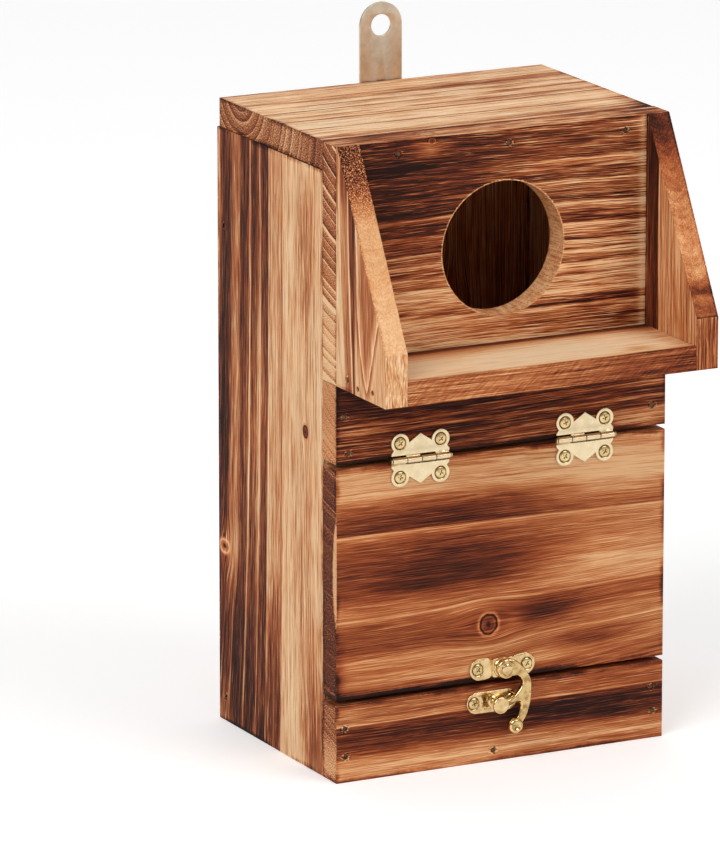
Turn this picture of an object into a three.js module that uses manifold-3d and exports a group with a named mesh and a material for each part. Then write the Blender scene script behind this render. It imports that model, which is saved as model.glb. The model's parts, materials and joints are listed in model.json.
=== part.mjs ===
// A wall-hung bird nest box of scorched softwood boards. A round entrance hole opens under a
// porch of two cheeks and a sill. Below it a clean-out door hangs on two decorative hinges and
// is kept shut by a swinging hook that slips behind a stud. A steel strap hangs the box.
// Millimetres. The origin is the middle of the underside, +Z is up and the front faces -Y.

import * as THREE from 'three';
import { mergeVertices } from 'three/addons/utils/BufferGeometryUtils.js';
import Module from 'manifold-3d';

const wasm = await Module();
wasm.setup();

// Overall box
const box_width = 140;
const box_height = 245;
const body_depth = 100;
const porch_depth = 40;
const board_thickness = 11;
const joint_gap = 0.15;
const cut_overrun = 1;

// Heights of the boards on the front, from the top down; the door fills what is left
const front_panel_height = 90.8;
const hinge_rail_height = 30.5;
const bottom_rail_height = 30.3;
const door_gap = 2;
const roof_side_inset = 0.6;
const roof_rear_inset = 0.8;

// Porch
const cheek_thickness = 9.2;
const sill_thickness = 9.5;
const cheek_nose_height = 19.8;
const cheek_top_land = 0.8;

// Entrance hole, in the middle of the front panel
const entrance_diameter = 51.5;
const entrance_sides = 48;

// Brads: thin nails driven just below the surface
const nail_length = 28;
const nail_radius = 0.65;
const nail_head_radius = 0.9;
const nail_head_length = 1.2;
const nail_point_length = 1.6;
const nail_set_depth = 0.4;
const nail_clearance = 0.3;
const nail_sides = 8;

// Countersunk cross-recess screws, in two sizes
const screw_clearance = 0.3;
const screw_sides = 12;
const hardware_screw = {
  head_radius: 2.1, shank_radius: 0.95, head_depth: 0.75, dome_height: 0.3, shank_length: 8,
  recess_width: 0.45, recess_length: 2.6, recess_depth: 0.55,
};
const strap_screw = {
  head_radius: 3, shank_radius: 1.4, head_depth: 1.1, dome_height: 0, shank_length: 8,
  recess_width: 0.6, recess_length: 3.6, recess_depth: 0.8,
};
const dome_shoulder_shares = { radius: 0.7, height: 0.7 };
const strap_screw_turn_share = 1 / 8;

// Hinges
const hinge_spread = 70;
const leaf_width = 24.4;
const leaf_thickness = 0.7;
const leaf_seat_gap = 0.1;
const leaf_shoulder = 2.6;
const knuckle_radius = 1.2;
const knuckle_gap = 0.3;
const knuckle_sides = 16;
const leaf_knuckle_count = 2;
const pin_radius = 0.5;
const pin_clearance = 0.1;
const pin_head_radius = 0.95;
const pin_head_thickness = 0.5;
const lobe_radius = 3.75;
const lobe_offset = 8.5;
const lobe_height = 6.55;
const leaf_peak = 9.8;
const leaf_arc_steps = 9;

// Latch
const latch_height = 37;
const latch_plate_length = 27.9;
const latch_plate_thickness = 0.9;
const latch_lobe_radius = 4.3;
const latch_waist = 3.3;
const latch_waist_share = 0.36;
const latch_screw_spread = 20.9;
const latch_seat_gap = 0.1;
const boss_radius = 4.6;
const boss_top_radius = 3.8;
const boss_height = 2.5;
const rivet_radius = 1.2;
const rivet_clearance = 0.1;
const rivet_head_radius = 2.1;
const rivet_head_height = 0.5;
const rivet_crown_share = 0.8;
const rivet_tail_radius = 1.9;
const rivet_tail_depth = 0.6;
const hook_clearance = 0.3;
const hook_thickness = 2.2;
const hook_bevel = 0.35;
const hook_head_radius = 3.85;
const hook_reach = 10.6;
const hook_drop = 22.5;
const hook_ball_radius = 3;
const hook_ball_thickness = 4;
const hook_ball_place_share = 0.33;
const hook_ball_sides = 14;
const hook_ball_rings = 8;
const tongue_width = 1.5;
const plate_arc_steps = 8;
const hook_outer_steps = 26;
const hook_lower_steps = 12;
const hook_inner_steps = 14;
const hook_head_steps = 14;

// Keeper: the plate and stud on the bottom rail
const keeper_height = 23.9;
const keeper_offset = -4.4;
const keeper_length = 21.4;
const keeper_width = 8.4;
const keeper_thickness = 0.9;
const keeper_screw_spread = 15.4;
const stud_offset = 0.5;
const stud_neck_radius = 1.3;
const stud_collar_radius = 2.3;
const stud_collar_height = 0.8;
const stud_head_radius = 3.3;
const stud_head_thickness = 1.6;
const stud_head_rounding = 0.5;
const stud_head_clearance = 1.4;
const stud_sides = 24;

// Hanger strap, screwed to the back
const strap_width = 18;
const strap_thickness = 1.2;
const strap_rise = 30.6;
const strap_length = 82;
const strap_seat_gap = 0.1;
const strap_hole_radius = 4.2;
const strap_screw_pitch = 24;
const strap_foot_rounding = 3;
const strap_sides = 24;
const strap_arc_steps = 12;

// Worked-out planes of the box
const half_width = box_width / 2;
const front_face = -body_depth / 2;
const rear_face = body_depth / 2;
const front_boards_back = front_face + board_thickness;
const inner_half_width = half_width - board_thickness;
const floor_top = board_thickness;
const roof_underside = box_height - board_thickness;
const porch_base = box_height - front_panel_height;
const hinge_rail_base = porch_base - hinge_rail_height;
const door_top = hinge_rail_base - door_gap;
const door_base = bottom_rail_height + door_gap;
const hinge_axis_height = (hinge_rail_base + door_top) / 2;
const hinge_axis_depth = front_face - leaf_seat_gap - knuckle_radius;
const back_panel_inner = rear_face - board_thickness;

// Finishes
const finishes = {
  scorched_wood: { color: 0xb9793f, roughness: 0.75, metalness: 0 },
  pale_brass: { color: 0xdcc58c, roughness: 0.35, metalness: 1 },
  polished_brass: { color: 0xd4b062, roughness: 0.25, metalness: 1 },
  nickel_steel: { color: 0xb5aca3, roughness: 0.3, metalness: 1 },
  dark_nail: { color: 0x3a2c22, roughness: 0.6, metalness: 1 },
};

function finishOf(name) {
  return new THREE.MeshStandardMaterial(finishes[name]);
}

// Closed three.js geometry to a solid, and back
function solidOf(geometry) {
  const bare = geometry.clone();
  bare.deleteAttribute('normal');
  bare.deleteAttribute('uv');
  const merged = mergeVertices(bare);
  return new wasm.Manifold(new wasm.Mesh({
    numProp: 3,
    vertProperties: merged.attributes.position.array,
    triVerts: new Uint32Array(merged.index.array),
  }));
}

function geometryOf(solid) {
  const mesh = solid.getMesh();
  const geometry = new THREE.BufferGeometry();
  geometry.setAttribute('position', new THREE.BufferAttribute(mesh.vertProperties, 3));
  geometry.setIndex(new THREE.BufferAttribute(mesh.triVerts, 1));
  geometry.computeVertexNormals();
  return geometry;
}

function cutAll(solid, cutters) {
  return cutters.reduce((left, cutter) => left.subtract(cutter), solid);
}

function addPiece(parent, name, geometry, material) {
  const piece = new THREE.Mesh(geometry, material);
  piece.name = name;
  parent.add(piece);
  return piece;
}

// A solid turned about its own axis, Y. It is given as [radius, place on the axis] pairs
function turned(profile, sides) {
  const points = profile.map(([radius, along]) => new THREE.Vector2(radius, along));
  return solidOf(new THREE.LatheGeometry(points, sides));
}

// A straight round cutter from a start point along a unit direction
function roundCutter(start, direction, radius, length, sides) {
  const geometry = new THREE.CylinderGeometry(radius, radius, length, sides);
  geometry.translate(0, length / 2, 0);
  const turn = new THREE.Quaternion().setFromUnitVectors(new THREE.Vector3(0, 1, 0), direction);
  geometry.applyQuaternion(turn);
  geometry.translate(start.x, start.y, start.z);
  return solidOf(geometry);
}

function blockSolid(low, high) {
  const size = new THREE.Vector3().subVectors(high, low);
  const centre = new THREE.Vector3().addVectors(low, high).divideScalar(2);
  const geometry = new THREE.BoxGeometry(size.x, size.y, size.z);
  geometry.translate(centre.x, centre.y, centre.z);
  return solidOf(geometry);
}

// An outline drawn in X and Z, given thickness along Y from one plane to another
function plateSolid(shape, y_start, y_end, curve_steps) {
  const geometry = new THREE.ExtrudeGeometry(shape, {
    depth: y_end - y_start, bevelEnabled: false, curveSegments: curve_steps,
  });
  geometry.rotateX(Math.PI / 2);
  geometry.translate(0, y_end, 0);
  return solidOf(geometry);
}

// Where each nail goes: the board it passes, the board it enters, and the way it is driven
const into_back = new THREE.Vector3(0, 1, 0);
const into_front = new THREE.Vector3(0, -1, 0);
const into_right = new THREE.Vector3(1, 0, 0);
const into_left = new THREE.Vector3(-1, 0, 0);
const nails = [];

function planNail(name, through, into, at, direction) {
  nails.push({ name, through, into, at, direction });
}

// Front panel into the front edge of the roof: shares of the box width from the middle
const front_panel_nail_shares = [-0.314, 0.017, 0.37];
front_panel_nail_shares.forEach((share, index) => {
  const at = new THREE.Vector3(share * box_width, front_face, box_height - board_thickness / 2);
  planNail(`front_panel_nail_${index + 1}`, 'front_panel', 'roof_board', at, into_back);
});

// Rails into the front edges of the side panels. Each place is a share of the board thickness
// in from the end, and a share of the rail height up from its lower edge
const hinge_rail_nail_shares = {
  left: [[0.32, 0.59], [0.47, 0.13]],
  right: [[0.5, 0.26], [0.36, 0.75]],
};
const bottom_rail_nail_shares = {
  left: [[0.33, 0.69], [0.36, 0.33]],
  right: [[0.42, 0.67], [0.38, 0.35]],
};
const side_signs = { left: -1, right: 1 };

function planRailNails(rail, shares, base, height) {
  for (const [side, sign] of Object.entries(side_signs)) {
    shares[side].forEach(([in_share, up_share], index) => {
      const x = sign * (half_width - in_share * board_thickness);
      const at = new THREE.Vector3(x, front_face, base + up_share * height);
      planNail(`${rail}_nail_${side}_${index + 1}`, rail, `${side}_side_panel`, at, into_back);
    });
  }
}
planRailNails('hinge_rail', hinge_rail_nail_shares, hinge_rail_base, hinge_rail_height);
planRailNails('bottom_rail', bottom_rail_nail_shares, 0, bottom_rail_height);

// Bottom rail into the front edge of the floor: share of the box width, share of the floor
const floor_nail_shares = { across: -0.023, up: 0.38 };
const floor_nail_place = new THREE.Vector3(
  floor_nail_shares.across * box_width, front_face, floor_nail_shares.up * board_thickness);
planNail('bottom_rail_nail_middle', 'bottom_rail', 'floor_board', floor_nail_place, into_back);

// Porch cheeks into the ends of the sill: shares of the porch depth and of the sill thickness
const cheek_nail_shares = [[0.23, 0.45], [0.44, 0.28], [0.74, 0.4]];
for (const [side, sign] of Object.entries(side_signs)) {
  cheek_nail_shares.forEach(([out_share, up_share], index) => {
    const at = new THREE.Vector3(
      sign * half_width, front_face - out_share * porch_depth, porch_base + up_share * sill_thickness);
    const direction = side === 'left' ? into_right : into_left;
    planNail(`porch_cheek_nail_${side}_${index + 1}`, `${side}_porch_cheek`, 'porch_sill', at, direction);
  });
}

// Side panels into the edges of the back panel: shares of the box height, half a board in
const side_nail_shares = [0.04, 0.8];
for (const [side, sign] of Object.entries(side_signs)) {
  side_nail_shares.forEach((share, index) => {
    const at = new THREE.Vector3(sign * half_width, rear_face - board_thickness / 2, share * box_height);
    const direction = side === 'left' ? into_right : into_left;
    planNail(`side_panel_nail_${side}_${index + 1}`, `${side}_side_panel`, 'back_panel', at, direction);
  });
}

// Where each screw goes: the board it enters, and the middle of the plate face it sits in
const screws = [];

function planScrew(name, into, at, direction, kind, turn_share) {
  screws.push({ name, into, at, direction, kind, turn_share });
}

const hinge_places = { left: -hinge_spread / 2, right: hinge_spread / 2 };
const leaf_face = front_face - leaf_seat_gap - leaf_thickness;
const screw_turn_shares = [0.11, 0.37, 0.21, 0.44, 0.05, 0.3, 0.4, 0.17];
const leaf_sides = { frame: { sign: 1, board: 'hinge_rail' }, door: { sign: -1, board: 'clean_out_door' } };
for (const [place, x] of Object.entries(hinge_places)) {
  for (const [leaf, { sign, board }] of Object.entries(leaf_sides)) {
    for (const [side, side_sign] of Object.entries(side_signs)) {
      const at = new THREE.Vector3(
        x + side_sign * lobe_offset, leaf_face, hinge_axis_height + sign * lobe_height);
      const name = `${place}_hinge_${leaf}_screw_${side}`;
      planScrew(name, board, at, into_back, hardware_screw, screw_turn_shares[screws.length]);
    }
  }
}

const latch_face = front_face - latch_seat_gap - latch_plate_thickness;
const keeper_face = front_face - latch_seat_gap - keeper_thickness;
const latch_turn_shares = { left: 0.13, right: 0.41 };
for (const [side, sign] of Object.entries(side_signs)) {
  const on_door = new THREE.Vector3(sign * latch_screw_spread / 2, latch_face, latch_height);
  planScrew(`latch_screw_${side}`, 'clean_out_door', on_door, into_back, hardware_screw,
    latch_turn_shares[side]);
  const on_rail = new THREE.Vector3(
    keeper_offset + sign * keeper_screw_spread / 2, keeper_face, keeper_height);
  planScrew(`keeper_screw_${side}`, 'bottom_rail', on_rail, into_back, hardware_screw,
    latch_turn_shares[side]);
}

const strap_face = rear_face + strap_seat_gap + strap_thickness;
const strap_foot = box_height + strap_rise - strap_length;
const strap_screw_names = ['lower', 'upper'];
strap_screw_names.forEach((name, index) => {
  const up = strap_screw_pitch * (index + 1 / 2);
  const at = new THREE.Vector3(0, strap_face, strap_foot + up);
  planScrew(`hanger_screw_${name}`, 'back_panel', at, into_front, strap_screw, strap_screw_turn_share);
});

// The holes that the nails and screws need in one board
function fastenerHoles(board_name) {
  const holes = [];
  for (const nail of nails) {
    if (nail.through === board_name) {
      const start = nail.at.clone().addScaledVector(nail.direction, -cut_overrun);
      const reach = board_thickness + cut_overrun * 2;
      holes.push(roundCutter(start, nail.direction, nail_head_radius + nail_clearance, reach, nail_sides));
    }
    if (nail.into === board_name) {
      const reach = nail_set_depth + nail_length + nail_clearance;
      holes.push(roundCutter(nail.at, nail.direction, nail_radius + nail_clearance, reach, nail_sides));
    }
  }
  for (const screw of screws) {
    if (screw.into === board_name) {
      const reach = screw.kind.head_depth + screw.kind.shank_length + screw_clearance;
      const radius = screw.kind.shank_radius + screw_clearance;
      holes.push(roundCutter(screw.at, screw.direction, radius, reach, screw_sides));
    }
  }
  return holes;
}

// A board between two corners, placed by its middle, with its fasteners' holes and other cuts
function addBoard(parent, name, low, high, other_cuts = []) {
  const solid = cutAll(blockSolid(low, high), [...fastenerHoles(name), ...other_cuts]);
  const centre = new THREE.Vector3().addVectors(low, high).divideScalar(2);
  const geometry = geometryOf(solid);
  geometry.translate(-centre.x, -centre.y, -centre.z);
  const piece = addPiece(parent, name, geometry, finishOf('scorched_wood'));
  piece.position.copy(centre);
  return piece;
}

const nest_box = new THREE.Group();
nest_box.name = 'bird_nest_box';
const fixed_box = new THREE.Group();
const door = new THREE.Group();
const hook_pivot = new THREE.Group();
nest_box.add(fixed_box, door);

// Side panels, back panel and floor
for (const [side, sign] of Object.entries(side_signs)) {
  const outer = sign * half_width;
  const inner = sign * inner_half_width;
  addBoard(fixed_box, `${side}_side_panel`,
    new THREE.Vector3(Math.min(outer, inner), front_boards_back + joint_gap, 0),
    new THREE.Vector3(Math.max(outer, inner), rear_face, roof_underside - joint_gap));
}
addBoard(fixed_box, 'back_panel',
  new THREE.Vector3(-inner_half_width + joint_gap, back_panel_inner, 0),
  new THREE.Vector3(inner_half_width - joint_gap, rear_face, roof_underside - joint_gap));
addBoard(fixed_box, 'floor_board',
  new THREE.Vector3(-inner_half_width + joint_gap, front_boards_back + joint_gap, 0),
  new THREE.Vector3(inner_half_width - joint_gap, back_panel_inner - joint_gap, floor_top));

// Roof, behind the top of the front panel
addBoard(fixed_box, 'roof_board',
  new THREE.Vector3(-half_width + roof_side_inset, front_boards_back + joint_gap, roof_underside),
  new THREE.Vector3(half_width - roof_side_inset, rear_face - roof_rear_inset, box_height));

// Front panel with the entrance hole, and the two rails
const entrance_height = porch_base + front_panel_height / 2;
const entrance_cut = roundCutter(
  new THREE.Vector3(0, front_face - cut_overrun, entrance_height), into_back,
  entrance_diameter / 2, board_thickness + cut_overrun * 2, entrance_sides);
addBoard(fixed_box, 'front_panel',
  new THREE.Vector3(-half_width, front_face, porch_base),
  new THREE.Vector3(half_width, front_boards_back, box_height), [entrance_cut]);
addBoard(fixed_box, 'hinge_rail',
  new THREE.Vector3(-half_width, front_face, hinge_rail_base),
  new THREE.Vector3(half_width, front_boards_back, porch_base - joint_gap));
addBoard(fixed_box, 'bottom_rail',
  new THREE.Vector3(-half_width, front_face, 0),
  new THREE.Vector3(half_width, front_boards_back, bottom_rail_height));

// Porch cheeks: upright at the nose, then sloping back to the top of the front panel
const porch_front = front_face - porch_depth;
function cheekSolid(x_low, x_high) {
  const back = front_face - joint_gap;
  const outline = new THREE.Shape();
  outline.moveTo(back, porch_base);
  outline.lineTo(back, box_height);
  outline.lineTo(back - cheek_top_land, box_height);
  outline.lineTo(porch_front, porch_base + cheek_nose_height);
  outline.lineTo(porch_front, porch_base);
  outline.closePath();
  const geometry = new THREE.ExtrudeGeometry(outline, { depth: x_high - x_low, bevelEnabled: false });
  geometry.rotateX(Math.PI / 2);
  geometry.rotateZ(Math.PI / 2);
  geometry.translate(x_low, 0, 0);
  return solidOf(geometry);
}
for (const [side, sign] of Object.entries(side_signs)) {
  const outer = sign * half_width;
  const inner = sign * (half_width - cheek_thickness);
  const name = `${side}_porch_cheek`;
  const solid = cutAll(cheekSolid(Math.min(outer, inner), Math.max(outer, inner)), fastenerHoles(name));
  addPiece(fixed_box, name, geometryOf(solid), finishOf('scorched_wood'));
}

// Sill between the cheeks
const sill_half_width = half_width - cheek_thickness - joint_gap;
addBoard(fixed_box, 'porch_sill',
  new THREE.Vector3(-sill_half_width, porch_front, porch_base),
  new THREE.Vector3(sill_half_width, front_face - joint_gap, porch_base + sill_thickness));

// Clean-out door: its group turns about the hinge axis
door.position.set(0, hinge_axis_depth, hinge_axis_height);
door.updateMatrixWorld();
const door_board = addBoard(nest_box, 'clean_out_door',
  new THREE.Vector3(-half_width, front_face, door_base),
  new THREE.Vector3(half_width, front_boards_back, door_top));
door.attach(door_board);

// Nails: a small head, a straight shank and a point
const nail_profile = [
  [0, nail_set_depth],
  [nail_head_radius, nail_set_depth],
  [nail_head_radius, nail_set_depth + nail_head_length],
  [nail_radius, nail_set_depth + nail_head_length],
  [nail_radius, nail_set_depth + nail_length - nail_point_length],
  [0, nail_set_depth + nail_length],
];
for (const nail of nails) {
  const geometry = geometryOf(turned(nail_profile, nail_sides));
  const piece = addPiece(fixed_box, nail.name, geometry, finishOf('dark_nail'));
  piece.quaternion.setFromUnitVectors(new THREE.Vector3(0, 1, 0), nail.direction);
  piece.position.copy(nail.at);
}

// Screws: domed countersunk head with a cross recess, then a plain shank with a point. The head's
// rim lies in the plate's face, at zero, and the shank runs towards +Y
function screwSolid(kind) {
  const { head_radius, shank_radius, head_depth, dome_height, shank_length } = kind;
  const profile = [[0, -dome_height]];
  if (dome_height > 0) {
    profile.push([head_radius * dome_shoulder_shares.radius, -dome_height * dome_shoulder_shares.height]);
  }
  profile.push([head_radius, 0]);
  profile.push([shank_radius, head_depth]);
  profile.push([shank_radius, head_depth + shank_length - shank_radius]);
  profile.push([0, head_depth + shank_length]);
  const long = kind.recess_length / 2;
  const narrow = kind.recess_width / 2;
  const top = -dome_height - cut_overrun;
  const bottom = kind.recess_depth - dome_height;
  const one = blockSolid(new THREE.Vector3(-long, top, -narrow), new THREE.Vector3(long, bottom, narrow));
  const other = blockSolid(new THREE.Vector3(-narrow, top, -long), new THREE.Vector3(narrow, bottom, long));
  return cutAll(turned(profile, screw_sides), [one, other]);
}

function addScrew(parent, screw, finish) {
  const piece = addPiece(nest_box, screw.name, geometryOf(screwSolid(screw.kind)), finish);
  const turn = new THREE.Quaternion().setFromAxisAngle(screw.direction, screw.turn_share * Math.PI * 2);
  piece.quaternion.setFromUnitVectors(new THREE.Vector3(0, 1, 0), screw.direction).premultiply(turn);
  piece.position.copy(screw.at);
  parent.attach(piece);
}
for (const screw of screws) {
  const on_strap = screw.kind === strap_screw;
  const on_door = screw.into === 'clean_out_door';
  const finish = finishOf(on_strap ? 'nickel_steel' : 'polished_brass');
  addScrew(on_door ? door : fixed_box, screw, finish);
}

// The countersunk hole that a screw needs in a plate whose outer face is at the given place
function screwSeat(at, direction, kind) {
  const radius = kind.head_radius + screw_clearance;
  const throat = kind.shank_radius + screw_clearance;
  const profile = [
    [0, -cut_overrun], [radius, -cut_overrun], [radius, 0],
    [throat, kind.head_depth], [throat, kind.head_depth + cut_overrun], [0, kind.head_depth + cut_overrun],
  ];
  const geometry = new THREE.LatheGeometry(profile.map(([r, y]) => new THREE.Vector2(r, y)), screw_sides);
  geometry.applyQuaternion(new THREE.Quaternion().setFromUnitVectors(new THREE.Vector3(0, 1, 0), direction));
  geometry.translate(at.x, at.y, at.z);
  return solidOf(geometry);
}

// One hinge leaf, about the middle of the hinge axis, which runs along X. The plate stands up from
// the axis: a straight foot, a round lobe at each side for a screw, and a peak between them.
// Turned half round about Y, the same leaf is the other half of the hinge
const leaf_back = knuckle_radius;
const leaf_front = knuckle_radius - leaf_thickness;
const knuckle_pitch = leaf_width / (leaf_knuckle_count * 2);
const leaf_inner_edge = knuckle_radius + knuckle_gap;

function leafOutline() {
  const half = leaf_width / 2;
  const outline = new THREE.Shape();
  outline.moveTo(-half, leaf_inner_edge);
  outline.lineTo(-half, leaf_shoulder);
  outline.absarc(-lobe_offset, lobe_height, lobe_radius, Math.PI * 5 / 4, 0, true);
  outline.lineTo(0, leaf_peak);
  outline.absarc(lobe_offset, lobe_height, lobe_radius, Math.PI, -Math.PI / 4, true);
  outline.lineTo(half, leaf_shoulder);
  outline.lineTo(half, leaf_inner_edge);
  outline.closePath();
  return outline;
}

function leafSolid() {
  let leaf = plateSolid(leafOutline(), leaf_front, leaf_back, leaf_arc_steps);
  const along = new THREE.Vector3(1, 0, 0);
  for (let index = 0; index < leaf_knuckle_count; index += 1) {
    const start = -leaf_width / 2 + knuckle_pitch * (index * 2 + 1) + knuckle_gap / 2;
    const length = knuckle_pitch - knuckle_gap;
    const barrel = roundCutter(new THREE.Vector3(start, 0, 0), along, knuckle_radius, length, knuckle_sides);
    const tab = blockSolid(
      new THREE.Vector3(start, leaf_front, 0),
      new THREE.Vector3(start + length, leaf_back, leaf_inner_edge + leaf_thickness));
    leaf = leaf.add(barrel).add(tab);
  }
  const bore_start = new THREE.Vector3(-leaf_width / 2 - cut_overrun, 0, 0);
  const bore = roundCutter(
    bore_start, along, pin_radius + pin_clearance, leaf_width + cut_overrun * 2, knuckle_sides);
  const seats = [-lobe_offset, lobe_offset].map((x) => screwSeat(
    new THREE.Vector3(x, leaf_front, lobe_height), into_back, hardware_screw));
  return cutAll(leaf, [bore, ...seats]);
}

// Hinge pin with a small head at each end, along Y before it is laid over
const pin_reach = leaf_width / 2 + knuckle_gap / 2;
const pin_profile = [
  [0, -pin_reach - pin_head_thickness],
  [pin_head_radius, -pin_reach - pin_head_thickness],
  [pin_head_radius, -pin_reach],
  [pin_radius, -pin_reach],
  [pin_radius, pin_reach],
  [pin_head_radius, pin_reach],
  [pin_head_radius, pin_reach + pin_head_thickness],
  [0, pin_reach + pin_head_thickness],
];

for (const [place, x] of Object.entries(hinge_places)) {
  const hinge = new THREE.Group();
  hinge.position.set(x, hinge_axis_depth, hinge_axis_height);
  fixed_box.add(hinge);
  addPiece(hinge, `${place}_hinge_frame_leaf`, geometryOf(leafSolid()), finishOf('pale_brass'));
  const pin_geometry = geometryOf(turned(pin_profile, knuckle_sides));
  const pin = addPiece(hinge, `${place}_hinge_pin`, pin_geometry, finishOf('pale_brass'));
  pin.rotation.z = Math.PI / 2;
  const door_leaf = addPiece(
    door, `${place}_hinge_door_leaf`, geometryOf(leafSolid()), finishOf('pale_brass'));
  door_leaf.rotation.y = Math.PI;
  door_leaf.position.x = x;
}

// Latch plate: two screw lobes, a waist at each side of the middle, and a raised boss that
// carries the hook. Drawn about the pivot, with the door face at zero and outwards towards -Y
const lobe_centre = latch_plate_length / 2 - latch_lobe_radius;
function latchPlateSolid() {
  const waist_x = latch_plate_length / 2 * latch_waist_share;
  const outline = new THREE.Shape();
  outline.moveTo(lobe_centre, latch_lobe_radius);
  outline.absarc(lobe_centre, 0, latch_lobe_radius, Math.PI / 2, -Math.PI / 2, true);
  outline.quadraticCurveTo(waist_x, -latch_lobe_radius, waist_x, -latch_waist);
  outline.lineTo(-waist_x, -latch_waist);
  outline.quadraticCurveTo(-waist_x, -latch_lobe_radius, -lobe_centre, -latch_lobe_radius);
  outline.absarc(-lobe_centre, 0, latch_lobe_radius, Math.PI * 3 / 2, Math.PI / 2, true);
  outline.quadraticCurveTo(-waist_x, latch_lobe_radius, -waist_x, latch_waist);
  outline.lineTo(waist_x, latch_waist);
  outline.quadraticCurveTo(waist_x, latch_lobe_radius, lobe_centre, latch_lobe_radius);
  const back = -latch_seat_gap;
  const face = back - latch_plate_thickness;
  const boss = turned([
    [0, back], [boss_radius, back], [boss_radius, face],
    [boss_top_radius, -boss_height], [0, -boss_height],
  ].reverse(), knuckle_sides);
  const tail = rivet_tail_radius + rivet_clearance;
  const rivet_hole = roundCutter(
    new THREE.Vector3(0, cut_overrun, 0), into_front, rivet_radius + rivet_clearance,
    boss_height + cut_overrun * 2, knuckle_sides);
  const tail_recess = roundCutter(
    new THREE.Vector3(0, cut_overrun, 0), into_front, tail,
    cut_overrun + latch_seat_gap + rivet_tail_depth + rivet_clearance, knuckle_sides);
  const seats = [-1, 1].map((sign) => screwSeat(
    new THREE.Vector3(sign * latch_screw_spread / 2, face, 0), into_back, hardware_screw));
  const plate = plateSolid(outline, face, back, plate_arc_steps).add(boss);
  return cutAll(plate, [rivet_hole, tail_recess, ...seats]);
}

// Rivet: a formed tail sunk in the back of the plate, a shank, and a low head over the hook
const hook_back = -boss_height - hook_clearance;
const hook_front = hook_back - hook_thickness;
const rivet_profile = [
  [0, -latch_seat_gap],
  [rivet_tail_radius, -latch_seat_gap],
  [rivet_tail_radius, -latch_seat_gap - rivet_tail_depth],
  [rivet_radius, -latch_seat_gap - rivet_tail_depth],
  [rivet_radius, hook_front - rivet_clearance],
  [rivet_head_radius, hook_front - rivet_clearance],
  [rivet_head_radius * rivet_crown_share, hook_front - rivet_clearance - rivet_head_height],
  [0, hook_front - rivet_clearance - rivet_head_height],
];

// Hook: a round head on the rivet, an arm that bows out to the right, a tongue that reaches back
// to the stud and a tail that ends in a thumb ball. X is in shares of the reach and Z in shares
// of the drop
const hook_outer_shares = [
  [0.34, 0.142], [0.62, 0.03], [0.86, -0.12], [0.98, -0.25], [1, -0.42], [0.975, -0.6], [0.83, -0.83],
  [0.62, -0.985],
];
const hook_tail_end_shares = [[0.4, -1.075], [0.2, -1.04], [0.26, -0.94]];
const hook_tail_inner_shares = [[0.46, -0.86], [0.575, -0.74], [0.58, -0.64]];
const tongue_lower_shares = [[0.53, -0.595], [0.36, -0.59], [0.14, -0.605]];
const hook_inner_shares = [
  [0.14, -0.535], [0.36, -0.475], [0.57, -0.365], [0.645, -0.27], [0.57, -0.19], [0.42, -0.135],
];

// The head's arc, in half turns from +X
const hook_head_arc_shares = { start: -0.3, end: -1.42 };

// The stud's neck limits how far the tongue reaches
const stud_x = keeper_offset + stud_offset;
const tongue_tip = stud_x + stud_neck_radius + hook_clearance;

function hookPoints(shares) {
  return shares.map(([x, z]) => new THREE.Vector2(x * hook_reach, z * hook_drop));
}

function smooth(points, steps) {
  return new THREE.SplineCurve(points).getPoints(steps);
}

function hookSolid() {
  const tip_height = keeper_height - latch_height;
  const top = new THREE.Vector2(0, hook_head_radius);
  const outer_points = [top, ...hookPoints(hook_outer_shares), ...hookPoints(hook_tail_end_shares)];
  const lower_points = [...hookPoints(hook_tail_inner_shares), ...hookPoints(tongue_lower_shares)];
  const outer = smooth(outer_points, hook_outer_steps);
  const lower = smooth(lower_points, hook_lower_steps);
  const tip = [
    new THREE.Vector2(tongue_tip, tip_height - tongue_width / 2),
    new THREE.Vector2(tongue_tip, tip_height + tongue_width / 2),
  ];
  const inner = smooth(hookPoints(hook_inner_shares), hook_inner_steps);
  const head = new THREE.EllipseCurve(
    0, 0, hook_head_radius, hook_head_radius,
    Math.PI * hook_head_arc_shares.start, Math.PI * hook_head_arc_shares.end, true,
  ).getPoints(hook_head_steps);
  const outline = new THREE.Shape([...outer, ...lower, ...tip, ...inner, ...head]);
  const geometry = new THREE.ExtrudeGeometry(outline, {
    depth: hook_thickness - hook_bevel * 2, bevelEnabled: true, bevelSize: hook_bevel,
    bevelThickness: hook_bevel, bevelOffset: -hook_bevel, bevelSegments: 1, curveSegments: 1,
  });
  geometry.rotateX(Math.PI / 2);
  geometry.translate(0, hook_back - hook_bevel, 0);
  const ball = new THREE.SphereGeometry(hook_ball_radius, hook_ball_sides, hook_ball_rings);
  ball.scale(1, hook_ball_thickness / (hook_ball_radius * 2), 1);
  ball.translate(hook_reach * hook_ball_place_share, hook_back - hook_ball_thickness / 2, -hook_drop);
  const bore = roundCutter(
    new THREE.Vector3(0, hook_back + cut_overrun, 0), into_front, rivet_radius + rivet_clearance,
    hook_thickness + cut_overrun * 2, knuckle_sides);
  return solidOf(geometry).add(solidOf(ball)).subtract(bore);
}

hook_pivot.position.set(0, front_face, latch_height);
nest_box.add(hook_pivot);
nest_box.updateMatrixWorld(true);
const rivet_geometry = geometryOf(turned([...rivet_profile].reverse(), knuckle_sides));
addPiece(hook_pivot, 'latch_plate', geometryOf(latchPlateSolid()), finishOf('polished_brass'));
addPiece(hook_pivot, 'latch_rivet', rivet_geometry, finishOf('polished_brass'));
addPiece(hook_pivot, 'latch_hook', geometryOf(hookSolid()), finishOf('polished_brass'));
door.attach(hook_pivot);

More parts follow.
